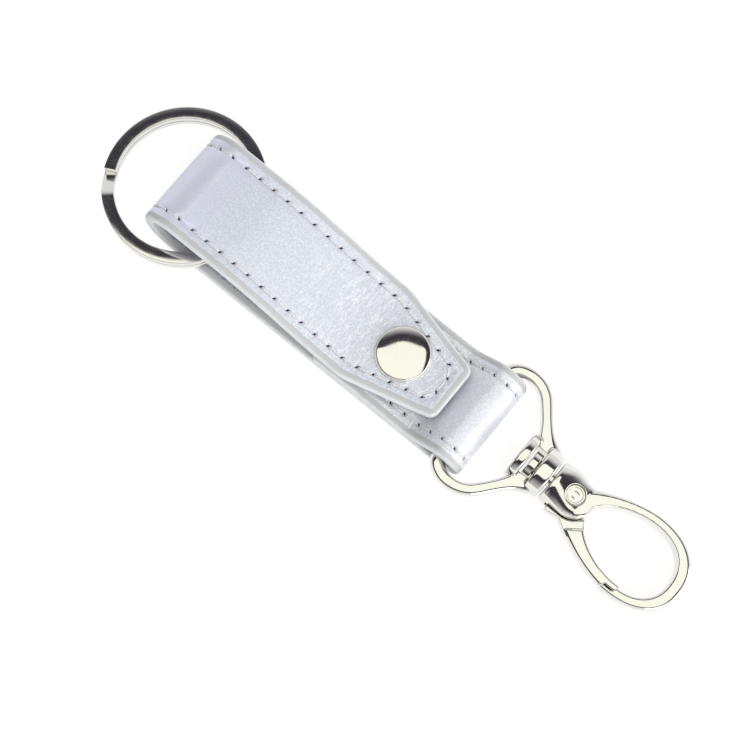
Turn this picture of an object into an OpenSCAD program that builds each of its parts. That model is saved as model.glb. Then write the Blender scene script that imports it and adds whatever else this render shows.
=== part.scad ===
/* [Strap] */
// Width of the strap
strap_w = 20; // [18:0.5:21]
// Thickness of the outer ply
outer_ply = 1.2; // [0.9:0.1:1.4]
// Thickness of the lining ply
lining_ply = 1; // [0.7:0.1:1.1]
// How far the lower fold stands out past the flap's tip
fold_past_tip = 9.2; // [8.7:0.1:12]
// Outside height of the top fold
top_fold_h = 14; // [12.5:0.5:17]
// Outside height of the lower fold
lower_fold_h = 9.2; // [9:0.1:10]
// Distance from the top fold to the end of the tail
tail_end_x = 38.3; // [30:0.1:43]
// Length over which the tail comes down onto the back
tail_slope_len = 7.9; // [7.6:0.1:8.2]

/* [Flap] */
// Length from the top fold to the tip of the flap
flap_len = 62.3; // [58:0.1:72]
// Width of the flap at its tip
flap_tip_w = 11; // [9:0.5:14]
// Length of the tapered end
flap_taper_len = 17.3; // [12:0.1:22]
// Radius of the tip's corners
flap_corner_r = 1.8; // [0.8:0.1:3]
// Distance from the top fold at which the flap starts to fall
flap_level_x = 16; // [12:0.5:24]
// Rise of the tip where it lies over the tail's slope
tip_lift = 0.4; // [0.3:0.1:1]

/* [Snap] */
// Distance from the flap's tip to the snap's axis
snap_to_tip = 11.3; // [9.8:0.1:12.3]
// Diameter of the cap
cap_d = 10.2; // [9:0.1:11]
// Height of the cap over the leather
cap_h = 1.3; // [1.1:0.1:1.6]
// Space between the tail and the flap at the snap
snap_gap = 1.9; // [1.8:0.1:2.3]
// Diameter of the socket
socket_d = 8.2; // [7.4:0.1:9]
// Diameter of the stud's head
stud_d = 3.7; // [3.4:0.1:4]
// Diameter of the stud's foot
stud_foot_d = 6.6; // [5.6:0.1:7.4]
// Diameter of the rivet's head
rivet_head_d = 9; // [7:0.1:11]
// Thickness of the rivet's head
rivet_head_t = 0.6; // [0.4:0.1:0.8]
// Diameter of the rivet's shank and of the cap's post
shank_d = 2; // [1.6:0.1:2.2]

/* [Key ring] */
// Outside diameter of the split ring
ring_od = 30; // [29:0.5:34]
// Width of the flat wire
wire_w = 2.3; // [1.8:0.1:2.6]
// Thickness of the flat wire
wire_t = 1.35; // [1:0.05:1.6]
// Distance from the top fold to the ring's centre
ring_x = 1; // [-1:0.1:2]
// Direction of the wire's upper end, seen from above
ring_cut_angle = 206; // [180:1:240]
// Angle over which the wire steps from one turn to the next
joggle_angle = 22; // [16:1:36]

/* [Swivel eye] */
// Diameter of the bar inside the lower fold
bar_d = 3; // [2.4:0.1:3.2]
// Outside width of the eye
eye_w = 26.4; // [25.5:0.1:30]
// Clear width inside the eye
eye_clear_w = 21.9; // [21.4:0.1:23.4]
// Distance from the bar's axis to the widest place
eye_bulge_x = 4; // [3.4:0.1:5]
// Thickness of the arms
eye_t = 3.4; // [2.8:0.1:4]
// Distance from the bar's axis to the upper collar
collar_x = 10.2; // [9.5:0.1:13]
// Length of the upper collar
upper_collar_l = 1.9; // [1.2:0.1:2.4]
// Length of the window
window_l = 2.1; // [2:0.1:3.5]
// Clear width of the window
window_w = 5.6; // [5:0.1:6.6]
// Length of the lower collar
lower_collar_l = 3; // [2.2:0.1:4]
// Diameter of the collars
collar_d = 9; // [8:0.1:9.2]
// Diameter of the swivel pin's shank
swivel_d = 3; // [2.4:0.1:3.2]
// Diameter of the swivel pin's head
swivel_head_d = 4.8; // [4:0.1:4.8]
// Length of the swivel pin's head
swivel_head_l = 1.5; // [1.2:0.1:1.7]

/* [Hook] */
// Diameter of the hook's barrel
barrel_d = 8.4; // [8:0.1:9]
// Length of the barrel
barrel_l = 2.4; // [2:0.1:3.2]
// Distance from the hook's shoulder to the gate pin
gate_pin_x = 4.75; // [4.6:0.05:5.4]
// Radius of the cheeks round the gate pin
cheek_r = 4.2; // [4:0.1:4.4]
// Half width of the neck between the cheeks and the hook's ring
neck_y = 3.3; // [3:0.1:3.8]
// Thickness over both cheeks
cheek_t = 5.5; // [5:0.1:6.4]
// Distance from the gate pin to the middle of the hook's ring
hook_mid_x = 14.1; // [13.5:0.1:16]
// Distance of the ring's middle from the swivel axis, towards the gate
hook_side_y = 1.4; // [0.8:0.1:2]
// Outside width of the hook's ring
hook_w = 16.8; // [16:0.1:20]
// Distance from the ring's middle to its far end
hook_nose_l = 10.8; // [10:0.1:13]
// Width of the hook's bar in plan, along its sides
hook_bar_w = 1.9; // [1.8:0.1:2.6]
// Width of the hook's bar in plan, at its far end
hook_end_w = 2.7; // [2:0.1:3.4]
// Thickness of the hook's bar
hook_t = 4; // [3.6:0.1:5]

/* [Gate] */
// Thickness of the gate between the cheeks
tongue_t = 2; // [1.6:0.1:2.4]
// Thickness of the gate's arm
gate_t = 3.8; // [3.4:0.1:4]
// Distance of the gate's outer side from the hook's outline
gate_out_inset = 0.15; // [0.1:0.05:0.5]
// Distance of the gate's inner side from the hook's outline
gate_in_inset = 0.5; // [0.2:0.1:0.7]
// Length of the lap between the gate's tip and the nose
lap_l = 1.5; // [1.2:0.1:2.2]
// Thickness of the thumb lever
lever_t = 0.8; // [0.6:0.1:1.2]
// Length of the thumb lever, back from the gate pin
lever_l = 2.8; // [2:0.1:3.4]
// Diameter of the gate pin
gate_pin_d = 1.8; // [1.4:0.1:2]
// Diameter of the gate pin's head
pin_head_d = 3.5; // [3:0.1:4]
// Diameter of the gate spring's wire
spring_wire_d = 0.26; // [0.2:0.02:0.3]

/* [Hidden] */
$fn = 64;

// Clearances
running_fit = 0.05;
slide_fit = 0.12;
seat_gap = 0.1;
loose_fit = 0.35;
ply_slit = 0.06;
bend_slit = 0.06;
turn_gap = 0.1;
swivel_gap = 0.4;
overrun = 1;
skin = 0.02;

// Smoothness, in steps
fold_steps = 20;
slope_steps = 16;
corner_steps = 6;
rim_steps = 3;
eye_steps = 9;
hook_steps = 42;
body_steps = 12;
gate_steps = 10;
section_steps = 16;
turn_step_angle = 5;

// Strap
strap_len = flap_len + fold_past_tip;
snap_x = flap_len - snap_to_tip;
strap_t = outer_ply + lining_ply;
top_r = top_fold_h / 2;
low_r = lower_fold_h / 2;
low_cx = strap_len - low_r;
tail_z = strap_t + ply_slit + strap_t;
tail_fall = lower_fold_h - tail_z;
flap_seat_x = snap_x - cap_d / 2;
flap_seat_z = tail_z + snap_gap + strap_t;
flap_under_z = flap_seat_z - strap_t;
flap_fall = top_fold_h - flap_seat_z;
tip_rise_x = snap_x + cap_d / 2;

// Snap
snap_post_r = shank_d / 2;
snap_hole_r = snap_post_r + seat_gap;
stud_foot_t = 0.35;
stud_neck_d = 2.9;
stud_head_t = 0.55;
stud_neck_l = 0.47;
stud_lip_angle = -60;
stud_top_z = tail_z + stud_foot_t + stud_neck_l + stud_head_t;
socket_web_t = 0.31;
socket_bottom_z = tail_z + stud_foot_t + seat_gap;
socket_lip_t = 0.2;
snap_spring_d = 0.44;
snap_spring_gap = 0.15;
snap_spring_cut = 0.97;
snap_spring_r = stud_d / 2 + snap_spring_gap;
flare_r = 1.35;
flare_t = 0.16;
cap_sheet = 0.35;
cap_rim_r = 0.32;
cap_crown_share = 0.8;
cap_sag_share = 0.35;
cap_crown_r = cap_crown_share * cap_d / 2;
cap_crown_h = cap_sag_share * cap_h;
cap_crown_ball_r = (pow(cap_crown_r, 2) + pow(cap_crown_h, 2)) / (2 * cap_crown_h);
cap_crown_slope = asin(cap_crown_r / cap_crown_ball_r);
cap_shoulder_end = 75;
cap_shoulder_r = (cap_h - cap_crown_h - cap_rim_r) / (cos(cap_crown_slope) - cos(cap_shoulder_end));

// Split ring
ring_r = ring_od / 2;
ring_bore_r = ring_r - wire_w;
turn_pitch = wire_t + turn_gap;
ring_h = wire_t + turn_pitch;
ring_rest_x = sqrt(ring_bore_r * ring_bore_r - strap_w * strap_w / 4);
ring_tilt = asin((strap_t + seat_gap) / (ring_r + ring_rest_x));
wire_edge_r = 0.22;

// Eye, measured from the bar's axis
eye_corner_inset = 1.55;
bar_r = bar_d / 2;
bar_room_share = 0.8;
bar_shift_share = 0.2;
bar_room = low_r - strap_t - bar_r - seat_gap;
bar_x = low_cx + bar_shift_share * bar_room;
bar_z = low_r + bar_room_share * bar_room;
collar_r = collar_d / 2;
window_x = collar_x + upper_collar_l;
lower_collar_x = window_x + window_l;
eye_end_x = lower_collar_x + lower_collar_l;
collar_rim = 0.45;
access_r = swivel_d / 2;

// Hook, measured from the bar's axis
hook_x = eye_end_x + swivel_gap;
barrel_r = barrel_d / 2;
barrel_end_x = hook_x + barrel_l;
pin_x = hook_x + gate_pin_x;
ring_mid_x = pin_x + hook_mid_x;
hook_tip_x = ring_mid_x + hook_nose_l;
slot_t = tongue_t + 2 * seat_gap;
pin_r = gate_pin_d / 2;
pin_end_gap = 2.5;
pin_end_x = pin_x - pin_end_gap;
heel_r = 2.3;
heel_room_r = heel_r + 2 * seat_gap;
droop = asin(min((bar_z - collar_r) / eye_end_x,
                 (bar_z - barrel_r) / barrel_end_x,
                 (bar_z - hook_t / 2) / hook_tip_x));

// The whole part stands with the middle of its box over the origin
low_end_x = ring_x - ring_r * cos(ring_tilt) - ring_h * sin(ring_tilt);
high_end_x = bar_x + hook_tip_x * cos(droop);
mid_x = (low_end_x + high_end_x) / 2;

// Colours
leather_colour = [0.84, 0.85, 0.91];
lining_colour = [0.70, 0.72, 0.79];
nickel = [0.80, 0.80, 0.78];
spring_steel = [0.45, 0.45, 0.47];

// Curves
function ease(t) = (1 - cos(180 * t)) / 2;
function unit(v) = v / norm(v);
function flip(list) = [for (i = [len(list) - 1 : -1 : 0]) list[i]];
function rest(list) = [for (i = [1 : len(list) - 1]) list[i]];
function arc(centre, r, from, to, steps) =
    [for (i = [0 : steps]) let (a = from + (to - from) * i / steps) centre + r * [cos(a), sin(a)]];
function bezier(a, b, c, d, steps) =
    [for (i = [1 : steps]) let (t = i / steps, s = 1 - t)
        s * s * s * a + 3 * s * s * t * b + 3 * s * t * t * c + t * t * t * d];

// Outward normal of a path that runs with the outside on its right
function side(path, i) =
    let (n = len(path), d = unit(path[min(i + 1, n - 1)] - path[max(i - 1, 0)])) [d[1], -d[0]];
function inset(path, depth) = [for (i = [0 : len(path) - 1]) path[i] - depth * side(path, i)];

// A polygon's corner replaced by an arc
function fillet(before, p, after, r) =
    let (u = unit(before - p), v = unit(after - p),
         half = acos(u * v) / 2,
         c = p + unit(u + v) * r / sin(half),
         a = atan2((p + u * r / tan(half) - c)[1], (p + u * r / tan(half) - c)[0]),
         b = atan2((p + v * r / tan(half) - c)[1], (p + v * r / tan(half) - c)[0]),
         turn = (b - a + 540) % 360 - 180)
    arc(c, r, a, a + turn, corner_steps);

// The strap's outer face, seen from the side: the flap from its tip, and the tail to its end
function flap_z(x) =
    x <= flap_level_x ? top_fold_h :
    x <= flap_seat_x ? top_fold_h - flap_fall * ease((x - flap_level_x) / (flap_seat_x - flap_level_x)) :
    x <= tip_rise_x ? flap_seat_z :
    flap_seat_z + tip_lift * ease((x - tip_rise_x) / (flap_len - tip_rise_x));
function tail_path_z(x) = lower_fold_h - tail_fall * ease((low_cx - x) / tail_slope_len);

flap_path = concat(
    [for (i = [0 : corner_steps])
        let (x = flap_len - (flap_len - tip_rise_x) * i / corner_steps) [x, flap_z(x)]],
    [for (i = [0 : slope_steps])
        let (x = flap_seat_x - (flap_seat_x - flap_level_x) * i / slope_steps) [x, flap_z(x)]],
    [[top_r + bend_slit, top_fold_h]]);
tail_path = concat(
    [for (i = [0 : slope_steps]) let (x = low_cx - tail_slope_len * i / slope_steps) [x, tail_path_z(x)]],
    [[tail_end_x, tail_z]]);

// The flap's and the strap's faces at a depth below the outer face
function flap_face(depth) = inset(flap_path, depth);
function strap_face(depth) = concat(
    arc([top_r, top_r], top_r - depth, 90, 270, fold_steps),
    arc([low_cx, low_r], low_r - depth, -90, 90, fold_steps),
    rest(inset(tail_path, depth)));

// Outline of the flap from above, with a tapered end
taper_x = flap_len - flap_taper_len;
flap_plan = concat(
    [[top_r, -strap_w / 2]],
    fillet([top_r, -strap_w / 2], [taper_x, -strap_w / 2], [flap_len, -flap_tip_w / 2], flap_taper_len / 2),
    fillet([taper_x, -strap_w / 2], [flap_len, -flap_tip_w / 2], [flap_len, flap_tip_w / 2], flap_corner_r),
    fillet([flap_len, -flap_tip_w / 2], [flap_len, flap_tip_w / 2], [taper_x, strap_w / 2], flap_corner_r),
    fillet([flap_len, flap_tip_w / 2], [taper_x, strap_w / 2], [top_r, strap_w / 2], flap_taper_len / 2),
    [[top_r, strap_w / 2]]);

// One ply: the stretch between two faces, across the strap's width
module ply(upper, lower)
    rotate([90, 0, 0])
        linear_extrude(strap_w, center = true)
            polygon(concat(upper, flip(lower)));

module flap_ply(from, to)
    intersection() {
        ply(flap_face(from), flap_face(to));
        linear_extrude(top_fold_h + overrun) polygon(flap_plan);
    }

module at_snap(z = 0) translate([snap_x, 0, z]) children();

// A closed skin over rings of points, each ring the same length
function loft_faces(rings, n) = concat(
    [for (i = [0 : rings - 2], k = [0 : n - 1]) [i * n + k, (i + 1) * n + k, (i + 1) * n + (k + 1) % n]],
    [for (i = [0 : rings - 2], k = [0 : n - 1]) [i * n + k, (i + 1) * n + (k + 1) % n, i * n + (k + 1) % n]],
    [for (k = [1 : n - 2]) [0, k, k + 1]],
    [for (k = [1 : n - 2]) let (e = (rings - 1) * n) [e, e + k + 1, e + k]]);

// Rounded-square section: a high squareness has flat sides, and two is an ellipse.
// Its flat faces lean towards the inner side, so the outer side is the rounder one
round_section = 2;
arm_section = 4;
bar_section = 4.5;
bar_lean_share = 0.16;
function signed_power(v, p) = sign(v) * pow(abs(v), p);
function section(inner, outer, half_t, squareness, lean_share) = [
    for (k = [0 : section_steps - 1])
        let (a = 360 * (k + 0.5) / section_steps,
             up = signed_power(sin(a), 2 / squareness),
             lean = lean_share * pow(abs(up), bar_section),
             across = signed_power(cos(a), 2 / squareness) * (1 - lean) - lean,
             p = (inner + outer) / 2 + (outer - inner) / 2 * across)
        [p[0], p[1], half_t * up]];

// A cast bar between an inner and an outer curve in plan
module cast_bar(inner, outer, half_t, squareness, lean) {
    rings = [for (i = [0 : len(inner) - 1]) section(inner[i], outer[i], half_t[i], squareness[i], lean[i])];
    polyhedron([for (ring = rings, p = ring) p], loft_faces(len(rings), section_steps), convexity = 8);
}

// A drum along X with rounded rims
module drum(r, l, rim)
    rotate([0, 90, 0])
        rotate_extrude()
            polygon(concat([[0, 0]],
                arc([r - rim, rim], rim, -90, 0, rim_steps),
                arc([r - rim, l - rim], rim, 0, 90, rim_steps),
                [[0, l]]));

module rod_x(r, l) rotate([0, 90, 0]) cylinder(r = r, h = l);

// Everything past the lower fold hangs on the bar and rests lower at its far end
module hung() translate([bar_x, 0, bar_z]) rotate([0, droop, 0]) children();
module at_pin(z = 0) hung() translate([pin_x, 0, z]) children();

// Strap
module strap_outer()
    color(leather_colour)
        difference() {
            ply(strap_face(0), strap_face(outer_ply));
            at_snap(-overrun) cylinder(r = snap_hole_r, h = tail_z + 2 * overrun);
            at_snap(-overrun) cylinder(r = rivet_head_d / 2 + seat_gap, h = overrun + rivet_head_t);
        }

module strap_lining()
    color(lining_colour)
        difference() {
            ply(strap_face(outer_ply), strap_face(strap_t));
            at_snap(-overrun) cylinder(r = snap_hole_r, h = tail_z + 2 * overrun);
        }

module flap_outer()
    color(leather_colour)
        difference() {
            flap_ply(0, outer_ply);
            at_snap() cylinder(r = snap_hole_r, h = top_fold_h);
        }

module flap_lining()
    color(lining_colour)
        difference() {
            flap_ply(outer_ply, strap_t);
            at_snap() cylinder(r = snap_hole_r, h = top_fold_h);
        }

// Snap
module snap_rivet()
    color(nickel)
        at_snap() {
            cylinder(r1 = rivet_head_d / 2 - rivet_head_t / 3, r2 = rivet_head_d / 2, h = rivet_head_t / 3);
            translate([0, 0, rivet_head_t / 3]) cylinder(r = rivet_head_d / 2, h = rivet_head_t * 2 / 3);
            cylinder(r = snap_post_r, h = stud_top_z - stud_head_t / 2);
        }

module snap_stud()
    color(nickel)
        at_snap()
            rotate_extrude()
                polygon(concat(
                    [[snap_post_r + skin, tail_z],
                     [stud_foot_d / 2, tail_z],
                     [stud_foot_d / 2, tail_z + stud_foot_t * 2 / 3],
                     [stud_foot_d / 2 - stud_foot_t, tail_z + stud_foot_t],
                     [stud_neck_d / 2, tail_z + stud_foot_t],
                     [stud_neck_d / 2, stud_top_z - stud_head_t]],
                    arc([stud_d / 2 - stud_head_t / 2, stud_top_z - stud_head_t / 2],
                        stud_head_t / 2, stud_lip_angle, 90, corner_steps),
                    [[0, stud_top_z],
                     [0, stud_top_z - stud_head_t / 2 + skin],
                     [snap_post_r + skin, stud_top_z - stud_head_t / 2 + skin]]));

module snap_cap()
    color(nickel)
        at_snap(flap_seat_z) {
            rotate_extrude() {
                translate([cap_d / 2 - cap_rim_r, cap_rim_r]) circle(cap_rim_r);
                square([cap_d / 2 - cap_rim_r, cap_rim_r]);
                intersection() {
                    translate([0, cap_h - cap_crown_ball_r]) circle(cap_crown_ball_r, $fn = 180);
                    square([cap_crown_r, cap_h]);
                }
                intersection() {
                    translate([cap_crown_r - cap_shoulder_r * sin(cap_crown_slope),
                               cap_h - cap_crown_h - cap_shoulder_r * cos(cap_crown_slope)])
                        circle(cap_shoulder_r);
                    square([cap_d / 2, cap_h]);
                }
            }
            translate([0, 0, -strap_t - socket_web_t])
                cylinder(r = snap_post_r, h = strap_t + socket_web_t + cap_rim_r);
            translate([0, 0, -strap_t - socket_web_t - flare_t]) cylinder(r = flare_r, h = flare_t);
        }

module snap_socket()
    color(nickel)
        at_snap()
            difference() {
                union() {
                    translate([0, 0, socket_bottom_z])
                        cylinder(r1 = socket_d / 2 - cap_sheet, r2 = socket_d / 2,
                                 h = flap_under_z - socket_bottom_z - cap_sheet);
                    translate([0, 0, flap_under_z - cap_sheet]) cylinder(r = socket_d / 2, h = cap_sheet);
                }
                translate([0, 0, socket_bottom_z - overrun])
                    cylinder(r = stud_d / 2 + loose_fit, h = overrun + 2 * socket_lip_t);
                translate([0, 0, socket_bottom_z + socket_lip_t])
                    cylinder(r = stud_d / 2 + 2 * loose_fit,
                             h = flap_under_z - socket_web_t - socket_bottom_z - socket_lip_t);
                cylinder(r = snap_post_r + skin, h = flap_under_z + overrun);
            }

module snap_spring()
    color(spring_steel)
        at_snap(socket_bottom_z + socket_lip_t + snap_spring_d / 2 + skin)
            difference() {
                rotate_extrude() translate([snap_spring_r + snap_spring_d / 2, 0]) circle(snap_spring_d / 2);
                translate([0, -snap_spring_cut / 2, -snap_spring_d])
                    cube([stud_d, snap_spring_cut, 2 * snap_spring_d]);
            }

// Split ring: flat wire that runs round once below, steps up and runs round once above
function wire_rise(a) =
    a <= ring_cut_angle ? 0 :
    a >= ring_cut_angle + joggle_angle ? turn_pitch :
    turn_pitch * ease((a - ring_cut_angle) / joggle_angle);
wire_from = ring_cut_angle + joggle_angle - 360;
wire_to = ring_cut_angle + 360;
wire_stations = ceil((wire_to - wire_from) / turn_step_angle);
wire_section = concat(
    arc([ring_r - wire_edge_r, wire_t - wire_edge_r], wire_edge_r, 0, 90, 2),
    arc([ring_bore_r + wire_edge_r, wire_t - wire_edge_r], wire_edge_r, 90, 180, 2),
    arc([ring_bore_r + wire_edge_r, wire_edge_r], wire_edge_r, 180, 270, 2),
    arc([ring_r - wire_edge_r, wire_edge_r], wire_edge_r, 270, 360, 2));

module split_ring()
    color(nickel)
        translate([ring_x, 0, ring_r * sin(ring_tilt)])
            rotate([0, -ring_tilt, 0])
                polyhedron(
                    [for (i = [0 : wire_stations], p = wire_section)
                        let (a = wire_from + (wire_to - wire_from) * i / wire_stations)
                        [p[0] * cos(a), p[0] * sin(a), p[1] + wire_rise(a)]],
                    [for (f = loft_faces(wire_stations + 1, len(wire_section))) flip(f)],
                    convexity = 8);

// Swivel eye: the curves of the right half, from the bar to the lower collar
flare_angle = 50;
eye_bend_r = 7;
eye_corner_y = eye_clear_w / 2 - eye_corner_inset;
flank_over = 0.6;
flank_slope = 20;
flank_end = [lower_collar_x + flank_over + collar_rim, collar_r + flank_over];
eye_arm_w = (eye_w - eye_clear_w) / 2;
arm_root_r = bar_r - 2 * skin;
eye_bend_inner_r = eye_bend_r - eye_arm_w;
eye_bend_end = [eye_bulge_x, eye_w / 2 - eye_bend_r] + eye_bend_r * [sin(flare_angle), cos(flare_angle)];
eye_bend_inner_end = [eye_bulge_x, eye_clear_w / 2 - eye_bend_inner_r]
    + eye_bend_inner_r * [sin(flare_angle), cos(flare_angle)];
flare_run = flank_end[0] - eye_bend_end[0];
flare_share = 0.54;
flank_share = 0.44;
eye_outer = concat(
    [for (i = [0 : eye_steps]) let (a = 180 - 90 * i / eye_steps)
        [eye_bulge_x + (eye_bulge_x + arm_root_r) * cos(a),
         eye_corner_y + (eye_w / 2 - eye_corner_y) * sin(a)]],
    [for (i = [1 : eye_steps]) let (a = flare_angle * i / eye_steps)
        [eye_bulge_x, eye_w / 2 - eye_bend_r] + eye_bend_r * [sin(a), cos(a)]],
    bezier(eye_bend_end,
           eye_bend_end + flare_share * flare_run * [cos(flare_angle), -sin(flare_angle)],
           flank_end + flank_share * flare_run * [-cos(flank_slope), sin(flank_slope)],
           flank_end, eye_steps),
    [flank_end + [2 * collar_rim, -collar_rim]]);
eye_inner = concat(
    [for (i = [0 : eye_steps]) let (a = 180 - 90 * i / eye_steps)
        [eye_bulge_x + (eye_bulge_x - arm_root_r) * cos(a),
         eye_corner_y + (eye_clear_w / 2 - eye_corner_y) * sin(a)]],
    [for (i = [1 : eye_steps]) let (a = flare_angle * i / eye_steps)
        [eye_bulge_x, eye_clear_w / 2 - eye_bend_inner_r] + eye_bend_inner_r * [sin(a), cos(a)]],
    bezier(eye_bend_inner_end,
           eye_bend_inner_end + (collar_x - eye_bend_inner_end[0]) / 2 * [1, -tan(flare_angle)],
           [collar_x, collar_r + eye_arm_w],
           [window_x, window_w / 2 - collar_rim], eye_steps),
    [[lower_collar_x + collar_rim, window_w / 2 - collar_rim]]);
eye_half_t = [for (i = [0 : len(eye_outer) - 1])
    arm_root_r + (eye_t / 2 - arm_root_r) * ease(min(1, i / eye_steps))];
eye_square = [for (i = [0 : len(eye_outer) - 1])
    round_section + (arm_section - round_section) * ease(min(1, i / eye_steps))];
eye_lean = [for (i = [0 : len(eye_outer) - 1]) bar_lean_share * ease(min(1, i / eye_steps))];

module swivel_eye()
    color(nickel)
        hung()
            difference() {
                union() {
                    rotate([90, 0, 0]) cylinder(r = bar_r, h = 2 * eye_corner_y + 2 * skin, center = true);
                    for (s = [1, -1])
                        mirror([0, s > 0 ? 0 : 1, 0])
                            cast_bar(eye_inner, eye_outer, eye_half_t, eye_square, eye_lean);
                    translate([collar_x, 0, 0]) drum(collar_r, upper_collar_l, collar_rim);
                    translate([lower_collar_x, 0, 0]) drum(collar_r, lower_collar_l, collar_rim);
                }
                translate([collar_x - overrun, 0, 0]) rod_x(access_r, upper_collar_l + 2 * overrun);
                translate([window_x + window_l / 2, 0, 0])
                    cube([window_l, window_w, collar_d + overrun], center = true);
                translate([lower_collar_x - overrun, 0, 0])
                    rod_x(swivel_d / 2 + running_fit, lower_collar_l + 2 * overrun);
            }

module swivel_pin()
    color(nickel)
        hung() {
            translate([lower_collar_x - seat_gap - swivel_head_l, 0, 0])
                drum(swivel_head_d / 2, swivel_head_l, seat_gap);
            translate([lower_collar_x - seat_gap - swivel_head_l / 2, 0, 0])
                rod_x(swivel_d / 2, pin_end_x - lower_collar_x + seat_gap + swivel_head_l / 2);
        }

// Hook: its ring is a pear in plan, blunt at the far end and drawn out towards the barrel
hook_outer_r = hook_w / 2;
hook_inner_r = hook_outer_r - hook_bar_w;
blunt_share = 2.3;
drawn_share = 1.5;
drawn_inner_share = 1.75;
drawn_over = 2.8;
drawn_inner_over = 1.1;
drawn_l = hook_mid_x + drawn_over;
drawn_inner_l = hook_mid_x - cheek_r + drawn_inner_over;
inner_shift = 0.4;
sweep_share = 1.36;
root_angle = 156;
thick_angle = 146;
nose_angle = -104;

function pear(a, shift, front, back, half_w, back_share) =
    let (bend = cos(a) > 0 ? blunt_share : back_share,
         reach = cos(a) > 0 ? front : back)
    [ring_mid_x + shift + reach * signed_power(cos(a), 2 / bend),
     -hook_side_y + half_w * signed_power(sin(a), 2 / bend)];
function swept(a) = abs(a) > 90 ? sign(a) * (90 + (abs(a) - 90) * sweep_share) : a;
function hook_out(a, in = 0) = pear(a, 0, hook_nose_l - in, drawn_l - in, hook_outer_r - in, drawn_share);
function hook_in(a, in = 0) =
    pear(swept(a), inner_shift, hook_nose_l - hook_end_w - inner_shift - in, drawn_inner_l - in,
         hook_inner_r - in, drawn_inner_share);

hook_angles = [for (i = [0 : hook_steps]) root_angle + (nose_angle - root_angle) * i / hook_steps];
hook_half_t = [for (a = hook_angles)
    hook_t / 2 + (cheek_t - hook_t) / 2 * (a > 90 ? ease(min(1, (a - 90) / (thick_angle - 90))) : 0)];

// The barrel is round, and flattens into the cheeks on its way to the ring
body_places = [for (i = [0 : body_steps]) i < 2 ? i * collar_rim :
    collar_rim + (gate_pin_x + cheek_r - 2 * collar_rim) * (i - 1) / (body_steps - 1)];
function flattening(l) = ease(max(0, min(1, (l - barrel_l / 2) / (gate_pin_x - barrel_l / 2))));
function body_upper(l) = barrel_r + (neck_y - barrel_r) * ease(max(0, min(1, (l - barrel_l) / gate_pin_x)));
function body_lower(l) = l < gate_pin_x ? barrel_r + (cheek_r - barrel_r) * l / gate_pin_x :
    sqrt(cheek_r * cheek_r - pow(l - gate_pin_x, 2));
function body_rim(l) = l < collar_rim ? collar_rim - l : 0;

// The gate's outer end and its lapped tip end on arcs about the pin, so it swings clear of the nose
gate_end_angle = -99;
gate_end_r = norm(hook_out(gate_end_angle) - [pin_x, 0]);
tip_end_r = gate_end_r + lap_l;
lap_from = -112;
lap_to = -80;
function lap_at(i) = lap_from + (lap_to - lap_from) * i / gate_steps;
function lap_mid(a, shift) = (hook_out(a) + hook_in(a)) / 2 + shift * unit(hook_in(a) - hook_out(a));

// Slot between the cheeks: room for the heel, the gate's sweep and the thumb lever
slot_from = -128;
slot_to = -2;
step_gap = 2;
step_r = cheek_r + step_gap;
nose_clear_share = 0.8;

module slot_plan()
    union() {
        circle(heel_room_r);
        polygon(concat([[0, 0]], arc([0, 0], step_r, slot_from, slot_to, 2 * corner_steps)));
    }

module rivet_seat(r, depth)
    for (s = [1, -1])
        translate([0, 0, s * (cheek_t / 2 - depth)])
            mirror([0, 0, s > 0 ? 0 : 1])
                cylinder(r = r, h = depth + overrun);

pin_head_t = 0.5;
pin_ring_outer_share = 0.78;
pin_ring_inner_share = 0.4;

module hook_blank()
    union() {
        cast_bar([for (l = body_places) [hook_x + l, body_rim(l) - body_lower(l)]],
                 [for (l = body_places) [hook_x + l, body_upper(l) - body_rim(l)]],
                 [for (l = body_places) barrel_r - body_rim(l) - (barrel_r - cheek_t / 2) * flattening(l)],
                 [for (l = body_places) round_section + (bar_section - round_section) * flattening(l)],
                 [for (l = body_places) 0]);
        cast_bar([for (a = hook_angles) hook_in(a)], [for (a = hook_angles) hook_out(a)],
                 hook_half_t, [for (a = hook_angles) bar_section], [for (a = hook_angles) bar_lean_share]);
    }

module hook_body()
    color(nickel)
        hung()
            difference() {
                hook_blank();
                translate([hook_x - overrun, 0, 0])
                    rod_x(swivel_d / 2 + skin, pin_end_x - hook_x + overrun + skin);
                translate([pin_x, 0, 0]) {
                    linear_extrude(slot_t, center = true) slot_plan();
                    cylinder(r = pin_r + skin, h = cheek_t + overrun, center = true);
                    rivet_seat(pin_head_d / 2 + seat_gap, pin_head_t);
                    intersection() {
                        cylinder(r = gate_end_r + slide_fit, h = cheek_t, center = true);
                        translate([0, -hook_w - hook_inner_r * nose_clear_share, -cheek_t])
                            cube([hook_w, hook_w, 2 * cheek_t]);
                    }
                }
                intersection() {
                    linear_extrude(2 * cheek_t, center = true)
                        polygon(concat(
                            [for (i = [0 : gate_steps]) lap_mid(lap_at(i), -slide_fit / 2)],
                            [for (i = [gate_steps : -1 : 0]) lap_mid(lap_at(i), hook_bar_w)]));
                    translate([pin_x, 0, 0]) cylinder(r = tip_end_r + slide_fit, h = cheek_t, center = true);
                }
            }

module gate_pin()
    color(nickel)
        at_pin()
            difference() {
                union() {
                    cylinder(r = pin_r, h = cheek_t - pin_head_t, center = true);
                    for (s = [1, -1])
                        translate([0, 0, s > 0 ? cheek_t / 2 - pin_head_t : -cheek_t / 2])
                            cylinder(r = pin_head_d / 2, h = pin_head_t);
                }
                for (s = [1, -1])
                    translate([0, 0, s * cheek_t / 2])
                        difference() {
                            cylinder(r = pin_head_d / 2 * pin_ring_outer_share, h = pin_head_t, center = true);
                            cylinder(r = pin_head_d / 2 * pin_ring_inner_share, h = 2 * pin_head_t, center = true);
                        }
            }

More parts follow.
